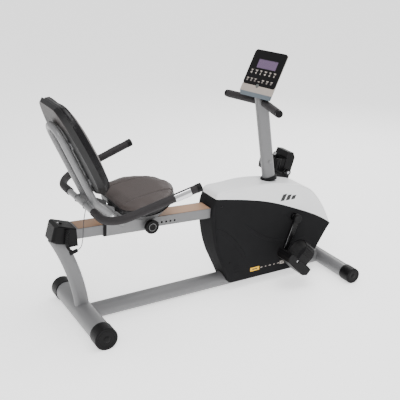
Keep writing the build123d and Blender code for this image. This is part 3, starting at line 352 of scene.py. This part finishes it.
def new_piece(name, mesh, finish, body, smooth=True):
    """Adds a mesh to the scene with its finish, riding on a body if one is named."""
    piece = bpy.data.objects.new(name, mesh)
    bpy.context.scene.collection.objects.link(piece)
    mesh.materials.clear()
    mesh.materials.append(MATS[finish])
    if smooth:
        for face in mesh.polygons:
            face.use_smooth = True
    if body:
        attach(piece, body)
    return piece


def mesh_of(name, bm):
    """Turns a bmesh into a mesh, with its faces outwards."""
    bmesh.ops.recalc_face_normals(bm, faces=bm.faces)
    mesh = bpy.data.meshes.new(name)
    bm.to_mesh(mesh)
    bm.free()
    return mesh


def carried_frames(path, start_normal, closed=False):
    """A tangent and a normal at each point, turned as little as possible along the path."""
    frames, normal = [], Vector(start_normal)
    count = len(path)
    for i, here in enumerate(path):
        before = path[(i - 1) % count] if closed or i else here
        after = path[(i + 1) % count] if closed or i < count - 1 else here
        tangent = (after - before).normalized()
        normal = (normal - tangent * normal.dot(tangent)).normalized()
        frames.append((here, tangent, normal))
    return frames


def sweep(bm, path, section, start_normal=(0, 0, 1), closed=False, scale=None):
    """Carries a closed section of (across, out) pairs along the path."""
    rings = []
    for i, (here, tangent, normal) in enumerate(carried_frames(path, start_normal, closed)):
        aside = tangent.cross(normal)
        k = scale(i / (len(path) - 1)) if scale else 1.0
        rings.append([bm.verts.new(here + aside * a * k + normal * b * k) for a, b in section])
    pairs = list(zip(rings, rings[1:])) + ([(rings[-1], rings[0])] if closed else [])
    for low, high in pairs:
        for j in range(len(section)):
            n = (j + 1) % len(section)
            bm.faces.new((low[j], low[n], high[n], high[j]))
    if not closed:
        bm.faces.new(rings[0])
        bm.faces.new(list(reversed(rings[-1])))


def round_section(radius, sides):
    """A circle as (across, out) pairs."""
    return [(radius * cos(2 * pi * k / sides), radius * sin(2 * pi * k / sides)) for k in range(sides)]


def turned(bm, centre, axis, profile, sides=24):
    """Turns (radius, height) pairs about an axis; the first and last are closed with flat faces."""
    axis = Vector(axis).normalized()
    first = axis.orthogonal().normalized()
    second = axis.cross(first)
    rings = []
    for radius, height in profile:
        ring = []
        for k in range(sides):
            angle = 2 * pi * k / sides
            ring.append(bm.verts.new(Vector(centre) + axis * height
                                     + first * radius * cos(angle) + second * radius * sin(angle)))
        rings.append(ring)
    for low, high in zip(rings, rings[1:]):
        for k in range(sides):
            n = (k + 1) % sides
            bm.faces.new((low[k], low[n], high[n], high[k]))
    bm.faces.new(rings[0])
    bm.faces.new(list(reversed(rings[-1])))


def route(points):
    """Points along the smooth line that a free lead follows, read from its NURBS spline."""
    data = bpy.data.curves.new("route", "CURVE")
    data.dimensions = "3D"
    spline = data.splines.new("NURBS")
    spline.points.add(len(points) - 1)
    for spot, point in zip(points, spline.points):
        point.co = (*spot, 1)
    spline.order_u = 3
    spline.use_endpoint_u = True
    spline.resolution_u = 12
    holder = bpy.data.objects.new("route", data)
    bpy.context.scene.collection.objects.link(holder)
    mesh = bpy.data.meshes.new_from_object(holder)
    line = [v.co.copy() for v in mesh.vertices]
    bpy.data.objects.remove(holder)
    bpy.data.meshes.remove(mesh)
    return line


def length_of(path):
    """The length of a line through points."""
    return sum((b - a).length for a, b in zip(path, path[1:]))


def evenly(path, count):
    """The same line with points at equal spacing."""
    total, spots, i, done = length_of(path), [], 0, 0.0
    for k in range(count):
        target = total * k / (count - 1)
        while i < len(path) - 2 and done + (path[i + 1] - path[i]).length < target:
            done += (path[i + 1] - path[i]).length
            i += 1
        step = (path[i + 1] - path[i]).length
        spots.append(path[i].lerp(path[i + 1], (target - done) / step))
    return spots


def surface_of(node):
    """A CAD node's surface, ready for casting rays at."""
    mesh = NODES[node].data
    return BVHTree.FromPolygons([v.co for v in mesh.vertices], [p.vertices for p in mesh.polygons])


def outer_face(nodes, x, z, side):
    """Where a line from one side of the bike, square to it, first meets one of the nodes."""
    start, inwards = Vector((REAR_X + x, side * 0.3, z)), Vector((0, -side, 0))
    hits = [surface_of(node).ray_cast(start, inwards)[0] for node in nodes]
    return max((hit for hit in hits if hit), key=lambda hit: side * hit.y)


# --- cushions ---------------------------------------------------------------
def evened(mesh, moves, rounds):
    """Averages each point's move with its neighbours', which takes out wrinkles but not the swell."""
    links = [(e.vertices[0], e.vertices[1]) for e in mesh.edges]
    for _ in range(rounds):
        total = [m.copy() for m in moves]
        count = [1] * len(moves)
        for i, j in links:
            total[i] += moves[j]
            total[j] += moves[i]
            count[i] += 1
            count[j] += 1
        moves = [t / c for t, c in zip(total, count)]
    return moves


def finer(mesh, name):
    """One level of subdivision, applied."""
    holder = bpy.data.objects.new(name, mesh)
    bpy.context.scene.collection.objects.link(holder)
    subdivide = holder.modifiers.new("subdivide", "SUBSURF")
    subdivide.levels = subdivide.render_levels = 1
    graph = bpy.context.evaluated_depsgraph_get()
    final = bpy.data.meshes.new_from_object(holder.evaluated_get(graph))
    bpy.data.objects.remove(holder)
    final.name = name
    return final


def even_voxels(mesh):
    """Smooths out the steps that the voxels leave."""
    bm = bmesh.new()
    bm.from_mesh(mesh)
    for _ in range(VOXEL_ROUNDS):
        bmesh.ops.smooth_vert(bm, verts=bm.verts, factor=0.5, use_axis_x=True, use_axis_y=True,
                              use_axis_z=True)
    bm.to_mesh(mesh)
    bm.free()


def stuffed(name, node, centre, cap, held):
    """Cloth under pressure, starting from the CAD solid drawn in a little; held(co) points stay put."""
    mesh = NODES[node].data.copy()
    mesh.materials.clear()
    for vertex in mesh.vertices:
        vertex.co = centre + (vertex.co - centre) * SQUEEZE
    holder = bpy.data.objects.new(name, mesh)
    bpy.context.scene.collection.objects.link(holder)
    remesh = holder.modifiers.new("remesh", "REMESH")
    remesh.mode, remesh.voxel_size = "VOXEL", VOXEL
    graph = bpy.context.evaluated_depsgraph_get()
    mesh = bpy.data.meshes.new_from_object(holder.evaluated_get(graph))
    holder.modifiers.clear()
    holder.data = mesh
    even_voxels(mesh)
    pinned = holder.vertex_groups.new(name="held")
    pinned.add([v.index for v in mesh.vertices if held(v.co)], 1.0, "REPLACE")
    cloth = holder.modifiers.new("cloth", "CLOTH")
    cloth.settings.quality = 5
    cloth.settings.tension_stiffness = cloth.settings.compression_stiffness = 25
    cloth.settings.bending_stiffness = 8
    cloth.settings.use_pressure = True
    cloth.settings.uniform_pressure_force = CUSHION_PRESSURE
    cloth.settings.vertex_group_mass = "held"
    cloth.settings.effector_weights.gravity = 0.0
    scene = bpy.context.scene
    for frame_number in range(1, CLOTH_FRAMES + 1):
        scene.frame_set(frame_number)
    graph = bpy.context.evaluated_depsgraph_get()
    blown = bpy.data.meshes.new_from_object(holder.evaluated_get(graph))
    moves = [b.co - a.co for a, b in zip(mesh.vertices, blown.vertices)]
    moves = [m * min(1.0, cap / max(m.length, 1e-9)) for m in moves]
    holder.modifiers.clear()
    scene.frame_set(1)
    for vertex, move in zip(mesh.vertices, evened(mesh, moves, EVEN_ROUNDS)):
        vertex.co += move
    bpy.data.objects.remove(holder)
    return finer(mesh, name)


def girdle(mesh, centre, right, up, normal, level, count=150):
    """A closed line round the cushion's widest side, at one height, from rays sent inwards."""
    tree = BVHTree.FromPolygons([v.co for v in mesh.vertices], [p.vertices for p in mesh.polygons])
    spots = []
    for k in range(count):
        angle = 2 * pi * k / count
        direction = right * cos(angle) + up * sin(angle)
        start = centre + normal * level + direction * 0.5
        spot = tree.ray_cast(start, -direction)[0]
        if spot is not None:
            spots.append(spot)
    return spots


def groove(mesh, near, depth, width):
    """Pulls the surface in along a sewn line; near(co) gives the distance to the line, or None."""
    for vertex in mesh.vertices:
        away = near(vertex.co)
        if away is not None and abs(away) < 4 * width:
            pull = depth * (exp(-(away / width) ** 2) + 0.45 * exp(-(away / (3.2 * width)) ** 2))
            vertex.co -= vertex.normal * pull


def piping(name, path, radius, finish, body, start_normal):
    """A round cord sewn along a closed line."""
    bm = bmesh.new()
    sweep(bm, path, round_section(radius, 10), start_normal, closed=True)
    return new_piece(name, mesh_of(name, bm), finish, body)


def seat_seam(u):
    """How far from the middle a seat seam lies, wider towards the back."""
    return 0.096 - 0.012 * (u / 0.26) ** 2


def stitch_ends(top, spots, side, offset):
    """Where one stitch beside a seam goes into the cushion's top."""
    ends = []
    for u in spots:
        start = SEAT_ORIGIN + SEAT_U * u + SEAT_N * 0.05
        start.y = side * (seat_seam(u) + offset)
        hit = top.ray_cast(start, -SEAT_N)[0]
        if hit is not None and seat_place(hit)[1] > -SEAT_TOP_DEPTH:
            ends.append(hit + SEAT_N * 0.0001)
    return ends


def make_seat():
    """Stuffed cushion with a dark side, two sewn channels with stitches, piping and a lower seam."""
    middle = SEAT_ORIGIN + SEAT_U * SEAT_MIDDLE_U - SEAT_N * SEAT_MIDDLE_DEPTH
    mesh = stuffed("seat_pad", "seat_cushion", middle, SEAT_SWELL,
                   lambda co: seat_place(co)[1] < -SEAT_LOW_DEPTH)

    def to_seam(co):
        u, h = seat_place(co)
        return abs(co.y) - seat_seam(u) if h > -SEAT_TOP_DEPTH else None

    groove(mesh, to_seam, 0.0030, 0.0022)
    pad = new_piece("seat_pad", mesh, "taupe", "carriage")
    mesh.materials.append(MATS["vinyl"])
    for face in mesh.polygons:
        face.material_index = int(seat_place(face.center)[1] < -SEAT_SIDE_DEPTH)
    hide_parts("seat_cushion")
    rim = girdle(mesh, middle, SEAT_U, Vector((0, 1, 0)), SEAT_N, SEAT_MIDDLE_DEPTH - SEAT_SIDE_DEPTH)
    piping("seat_piping", rim, 0.0024, "vinyl", "carriage", SEAT_N)
    low = girdle(mesh, middle, SEAT_U, Vector((0, 1, 0)), SEAT_N, SEAT_MIDDLE_DEPTH - SEAT_LOW_DEPTH)
    piping("seat_lower_seam", low, 0.0016, "vinyl", "carriage", SEAT_N)
    top = BVHTree.FromPolygons([v.co for v in mesh.vertices], [p.vertices for p in mesh.polygons])
    for side, label in SIDES:
        for offset, thread in ((-STITCH_ASIDE, "inner"), (STITCH_ASIDE, "outer")):
            bm = bmesh.new()
            for k in range(STITCH_COUNT):
                u0 = -0.004 + STITCH_PITCH * k
                ends = stitch_ends(top, (u0, u0 + STITCH_LENGTH), side, offset)
                if len(ends) == 2:
                    sweep(bm, ends, round_section(STITCH_WIRE, 6), SEAT_N)
            new_piece(f"seat_stitch_{label}_{thread}", mesh_of("stitch", bm), "thread", "carriage")


def make_back():
    """Stuffed cushion with a seat-coloured front, two sewn channels and three lines round its side."""
    middle = BACK_ORIGIN + BACK_S * BACK_MIDDLE_S + BACK_N * BACK_MIDDLE_N
    mesh = stuffed("back_cushion", "back_pad", middle, BACK_SWELL,
                   lambda co: back_place(co)[1] < BACK_HELD_N)

    def to_seam(co):
        s, n = back_place(co)
        if n < BACK_SEWN_N:
            return None
        inner = 0.104 - 0.03 * ((s - 0.27) / 0.2) ** 2
        return abs(co.y) - inner

    groove(mesh, to_seam, 0.0034, 0.0024)
    pad = new_piece("back_cushion", mesh, "leather", "carriage")
    mesh.materials.append(MATS["taupe"])
    for face in mesh.polygons:
        face.material_index = int(back_place(face.center)[1] > BACK_FRONT_N)
    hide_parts("back_pad")
    for name, level, radius in BACK_PIPINGS:
        rim = girdle(mesh, middle, Vector((0, 1, 0)), BACK_S, BACK_N, level - BACK_MIDDLE_N)
        piping(name, rim, radius, "leather", "carriage", BACK_N)


# --- leads ------------------------------------------------------------------
def make_leads():
    """The grey lead between frame and carriage, and the curly lead below the end cap."""
    path = route(PULSE_ROUTE)
    bm = bmesh.new()
    sweep(bm, path, round_section(PULSE_D / 2, 14), (0, 1, 0))
    lead = new_piece("pulse_wire", mesh_of("pulse_wire", bm), "lead", None)
    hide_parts("pulse_lead")
    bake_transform(lead)
    turns = round(length_of(route(CURL_ROUTE)) / CURL_PITCH)
    line = evenly(route(CURL_ROUTE), turns * CURL_STEPS + 1)
    helix = []
    for k, (here, tangent, normal) in enumerate(carried_frames(line, (0, 1, 0))):
        angle = 2 * pi * k / CURL_STEPS
        helix.append(here + (normal * cos(angle) + tangent.cross(normal) * sin(angle)) * CURL_R)
    bm = bmesh.new()
    sweep(bm, helix, round_section(CURL_D / 2, 8), (1, 0, 0))
    curl = new_piece("curly_wire", mesh_of("curly_wire", bm), "coil", "frame")
    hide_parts("coil_lead")


# --- casing details ---------------------------------------------------------
def on_case(x, z, side):
    """A place on the casing's side face."""
    return Vector((REAR_X + x, side * CASE_HALF, z))


def arc_spots(centre, start, end, side, count=60):
    """Points of a circle in the casing's side face, from one point to another."""
    cx, cz = centre
    a0 = atan2(start[1] - cz, start[0] - cx)
    a1 = atan2(end[1] - cz, end[0] - cx)
    radius = hypot(start[0] - cx, start[1] - cz)
    if a1 - a0 > pi:
        a1 -= 2 * pi
    if a0 - a1 > pi:
        a1 += 2 * pi
    return [on_case(cx + radius * cos(a0 + (a1 - a0) * k / count),
                    cz + radius * sin(a0 + (a1 - a0) * k / count), side) for k in range(count + 1)]


def swell(t):
    """Full size along a line, thinner at both its ends."""
    return 0.15 + 0.85 * min(1.0, 6 * t, 6 * (1 - t))


def make_casing_details():
    """Creases, an edge bead, vent ribs and screws on both sides."""
    for side, label in SIDES:
        out = Vector((0, side, 0))
        for number, (centre, start, end) in enumerate(CASE_CREASES, 1):
            bm = bmesh.new()
            sweep(bm, arc_spots(centre, start, end, side), CREASE, out, scale=swell)
            new_piece(f"{label}_case_crease_{number}", mesh_of("crease", bm), "charcoal", "frame")
        bm = bmesh.new()
        sweep(bm, route([on_case(x, z, side) for x, z in CASE_BORDER]), round_section(0.0022, 10), out,
              scale=swell)
        new_piece(f"{label}_case_edge_bead", mesh_of("bead", bm), "charcoal", "frame")
        bm = bmesh.new()
        for k in range(3):
            z = 0.081 + 0.0155 * k
            x = 0.680 + 0.004 * k
            ends = [on_case(x, z, side), on_case(x + 0.045 - 0.004 * k, z + 0.003, side)]
            path = [ends[0].lerp(ends[1], t / 10) for t in range(11)]
            sweep(bm, path, VENT_RIB, out, scale=swell)
        new_piece(f"{label}_vent_ribs", mesh_of("ribs", bm), "charcoal", "frame")
        for number, (x, z) in enumerate(CASE_SCREWS, 1):
            add_screw(f"{label}_case_screw_{number}", on_case(x, z, side) - out * 0.0006, out, 0.0042,
                      "gloss", "frame")


def add_screw(name, place, axis, radius, finish, body):
    """Pan-head screw; its cross recess is a flat near-black cross on the head, painted shade instead of a
    hollow.
    """
    axis = Vector(axis).normalized()
    bm = bmesh.new()
    turned(bm, place, axis, [(radius, 0), (radius, 0.25 * radius), (0.8 * radius, 0.5 * radius),
                             (0.4 * radius, 0.62 * radius)], 20)
    new_piece(name, mesh_of(name, bm), finish, body)
    # Painted shade: two flat near-black strips on the head stand for the shade inside the cross recess.
    first = axis.orthogonal().normalized()
    bm = bmesh.new()
    top = Vector(place) + axis * 0.63 * radius
    for direction in (first, axis.cross(first)):
        across = axis.cross(direction)
        reach, half = 0.34 * radius, 0.08 * radius
        bm.faces.new([bm.verts.new(top + direction * a + across * b) for a, b in
                      ((-reach, -half), (reach, -half), (reach, half), (-reach, half))])
    new_piece(f"{name}_recess", mesh_of(name, bm), "recess", body, smooth=False)


def add_hex_bolt(name, place, axis, radius, finish, body):
    """Hexagon head with a chamfered top on a flat washer."""
    bm = bmesh.new()
    turned(bm, place, axis, [(1.35 * radius, 0), (1.35 * radius, 0.14 * radius)], 28)
    turned(bm, Vector(place) + Vector(axis).normalized() * 0.14 * radius, axis,
           [(radius, 0), (radius, 0.55 * radius), (0.86 * radius, 0.68 * radius)], 6)
    new_piece(name, mesh_of(name, bm), finish, body, smooth=False)


# --- console face -----------------------------------------------------------
def face_patch(bm, a, b, wide, high, lift=0.0003, lean=0.0):
    """Thin printed patch on the console's face, corners cut a little."""
    cut = 0.2 * min(wide, high)
    w, h = wide / 2, high / 2
    outline = [(-w + cut, -h), (w - cut, -h), (w, -h + cut), (w, h - cut),
               (w - cut, h), (-w + cut, h), (-w, h - cut), (-w, -h + cut)]
    bm.faces.new([bm.verts.new(plane_point(CONSOLE_ORIGIN, FACE_U, FACE_V, a + x + lean * y, b + y, lift))
                  for x, y in outline])


def make_console_details():
    """Plain print and screen segments, the bezel round the screen and a dome on each key."""
    bm = bmesh.new()
    for k in range(6):
        a = -0.067 + 0.0264 * k
        face_patch(bm, a, -0.0125, 0.0105 + 0.003 * (k % 2), 0.0030, lean=0.3)
        face_patch(bm, a + 0.001, -0.0165, 0.0070, 0.0022, lean=0.3)
        face_patch(bm, a, -0.0245, 0.0120 - 0.003 * (k % 3), 0.0032, lean=0.3)
        face_patch(bm, a + 0.0005, -0.0285, 0.0066, 0.0020, lean=0.3)
    for a in KEY_SPOTS:
        face_patch(bm, a, KEY_ROW + 0.0100, 0.0130, 0.0026, lean=0.3)
        face_patch(bm, a, KEY_ROW + 0.0064, 0.0080, 0.0016, lean=0.3)
    face_patch(bm, -0.005, KEY_ROW, 0.0110, 0.0030)
    new_piece("console_print", mesh_of("print", bm), "print", "frame", smooth=False)
    bm = bmesh.new()
    for k in range(7):
        a = -0.041 + 0.0147 * k
        for b in (0.010, 0.018, 0.026):
            face_patch(bm, a, b, 0.0095, 0.0010, lift=-0.0013)
        for b in (0.014, 0.022):
            face_patch(bm, a - 0.0048, b, 0.0010, 0.0064, lift=-0.0013)
            face_patch(bm, a + 0.0048, b, 0.0010, 0.0064, lift=-0.0013)
    new_piece("screen_segments", mesh_of("segments", bm), "segment", "frame", smooth=False)
    bm = bmesh.new()
    wide, high, r = SCREEN_HALF_W, SCREEN_HALF_H, BEZEL_CORNER
    ring = []
    for cx, cy, a0 in ((wide - r, high - r, 0), (-wide + r, high - r, 90),
                       (-wide + r, -high + r, 180), (wide - r, -high + r, 270)):
        for k in range(7):
            angle = radians(a0 + 15 * k)
            ring.append(plane_point(CONSOLE_ORIGIN, FACE_U, FACE_V,
                                    SCREEN_A + cx + r * cos(angle), SCREEN_B + cy + r * sin(angle),
                                    0.0002))
    sweep(bm, ring, round_section(BEZEL_WIRE, 8), FACE_U.cross(FACE_V), closed=True)
    new_piece("screen_bezel", mesh_of("bezel", bm), "gloss", "frame")
    normal = FACE_U.cross(FACE_V)
    for k, a in enumerate(KEY_SPOTS, 1):
        bm = bmesh.new()
        turned(bm, plane_point(CONSOLE_ORIGIN, FACE_U, FACE_V, a, KEY_ROW, 0.0015), normal,
               [(0.0041, -0.0008), (0.0041, 0.0004), (0.0036, 0.0011), (0.0022, 0.0016),
                (0.0006, 0.0018)], 24)
        new_piece(f"key_{k}_dome", mesh_of("dome", bm), "key", f"button_{k}")


# --- bolts, rings, labels ---------------------------------------------------
def make_fastenings():
    """Bolts on the mast and brackets, the end cap's screw and the ring on the knob."""
    for number, (x, z) in enumerate(MAST_BOLTS, 1):
        place = Vector((REAR_X + x, -0.0195, z))
        add_hex_bolt(f"mast_bolt_{number}", place, (0, -1, 0), 0.0062, "sleeve", "frame")
    lo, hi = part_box("rear_end_cap")
    tree = surface_of("rear_end_cap")
    spot = tree.ray_cast(Vector(((lo.x + hi.x) / 2 - 0.008, 0, hi.z + 0.05)), Vector((0, 0, -1)))
    if spot[0] is not None:
        add_screw("end_cap_screw", spot[0] - spot[1] * 0.0004, spot[1], 0.0052, "chrome", "frame")
    knob_lo, knob_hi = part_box("adjust_knob")
    centre = (knob_lo + knob_hi) / 2
    bm = bmesh.new()
    face = Vector((centre.x, knob_lo.y, centre.z))
    wide = (knob_hi.x - knob_lo.x) / 2
    ring = [face + Vector((cos(2 * pi * k / 48), 0, sin(2 * pi * k / 48))) * wide * 0.52
            for k in range(48)]
    sweep(bm, ring, KNOB_RING, (0, -1, 0), closed=True)
    new_piece("knob_ring", mesh_of("knob_ring", bm), "sleeve", "pull_knob")
    for number, (x, z) in enumerate(BRACKET_BOLTS, 1):
        for side, label in SIDES:
            place = outer_face(("frame_brackets", "back_frame"), x, z, side)
            add_hex_bolt(f"{label}_bracket_bolt_{number}", place, (0, side, 0), 0.0058, "chrome",
                         "carriage")


def make_cap_faces():
    """Raised rim and a shallow dished centre on each stabiliser cap."""
    for x, z, half, radius, where in STABILISERS:
        for side, label in SIDES:
            bm = bmesh.new()
            centre = Vector((REAR_X + x, side * half, z))
            ring = [centre + Vector((cos(2 * pi * k / 56), 0, sin(2 * pi * k / 56))) * 0.74 * radius
                    for k in range(56)]
            sweep(bm, ring, CAP_RING, (0, side, 0), closed=True)
            turned(bm, centre - Vector((0, side * 0.0004, 0)), (0, side, 0),
                   [(0.30 * radius, 0), (0.28 * radius, 0.0012), (0.12 * radius, 0.0016)], 32)
            new_piece(f"{where}_{label}_cap_face", mesh_of("cap_face", bm), "black", "frame")


def make_crank_edge_highlights():
    """Painted highlight: a thin bright grey line along the rear edge of each arm, where light catches its
    rounded edge.
    """
    for side, label, sign in ((-1, "right", 1), (1, "left", -1)):
        along = Vector((cos(CRANK_TURN), 0, sin(CRANK_TURN))) * sign
        aside = Vector((along.z, 0, -along.x))
        if aside.x > 0:
            aside = -aside
        axle = Vector((REAR_X + CRANK_X, side * CRANK_FACE_Y, CRANK_Z))
        path = [axle + along * (0.030 + 0.120 * t / 12) + aside * (0.0132 - 0.0026 * t / 12)
                for t in range(13)]
        bm = bmesh.new()
        sweep(bm, path, round_section(0.0008, 8), (0, side, 0), scale=swell)
        new_piece(f"{label}_crank_edge_highlight", mesh_of("edge", bm), "sleeve", "crank")


def flat_patch(bm, centre, a, b, wide, high, lean=0.0):
    """Thin printed patch on the casing's side."""
    bm.faces.new([bm.verts.new(centre + Vector((a + x * wide / 2 + lean * y * high / 2, 0,
                                                b + y * high / 2)))
                  for x, y in ((-1, -1), (1, -1), (1, 1), (-1, 1))])


def make_labels():
    """Plain label along the bottom of the right side, and three plain stripes above the crank."""
    out = Vector((0, -0.0003, 0))
    origin = on_case(LABEL_X, LABEL_Z, -1) + out
    bm = bmesh.new()
    flat_patch(bm, origin, 0, 0, 0.048, 0.018)
    new_piece("case_label", mesh_of("label", bm), "label", "frame", smooth=False)
    bm = bmesh.new()
    for k in range(5):
        flat_patch(bm, origin, 0.036 + 0.0228 * k, 0, 0.0100 - 0.003 * (k % 2), 0.0040, lean=0.6)
    flat_patch(bm, origin, 0.148, 0, 0.024, 0.016)
    new_piece("case_label_marks", mesh_of("marks", bm), "print", "frame", smooth=False)
    bm = bmesh.new()
    flat_patch(bm, origin + out, 0, 0, 0.026, 0.0050)
    flat_patch(bm, origin + out, 0.148, 0, 0.010, 0.006)
    for k in range(3):
        spot = on_case(MARK_X + 0.027 * k, MARK_Z - 0.004 * k, -1) + out
        flat_patch(bm, spot, 0, 0, 0.021, 0.030 - 0.006 * k, lean=0.5)
    new_piece("case_dark_marks", mesh_of("dark", bm), "mark", "frame", smooth=False)


# --- pedals -----------------------------------------------------------------
def make_pedals():
    """Ribs over each strap, in the pedal's own frame."""
    for side, label, lift, sign, height in PEDALS:
        x = REAR_X + CRANK_X + sign * CRANK_LEN * cos(CRANK_TURN)
        z = CRANK_Z + sign * CRANK_LEN * sin(CRANK_TURN)
        middle = Vector((x, side * PEDAL_Y, z))
        toe = Vector((cos(radians(lift)), 0, sin(radians(lift))))
        up = Vector((-sin(radians(lift)), 0, cos(radians(lift))))
        across = Vector((0, 1, 0))
        start = middle + toe * -0.006 + up * 0.0122
        rise = height - STRAP_FOOT
        radius = (STRAP_HALF ** 2 + rise ** 2) / (2 * rise)
        hub = height - radius
        reach = atan2(STRAP_HALF, STRAP_FOOT - hub)
        bm = bmesh.new()
        for k in range(STRAP_RIBS):
            angle = -reach + 2 * reach * (k + 0.5) / STRAP_RIBS
            out = across * sin(angle) + up * cos(angle)
            foot = start + up * hub + out * (radius + 0.0002)
            path = [foot + toe * (0.005 + 0.052 * t / 8) for t in range(9)]
            sweep(bm, path, STRAP_RIB, out, scale=swell)
        new_piece(f"{label}_strap_ribs", mesh_of("ribs", bm), "black", f"pedal_{label}")


# --- the whole object -------------------------------------------------------
add_camera()
add_studio()
dress_cad()
make_leads()
make_seat()
make_back()
make_casing_details()
make_console_details()
make_fastenings()
make_cap_faces()
make_crank_edge_highlights()
make_labels()
make_pedals()
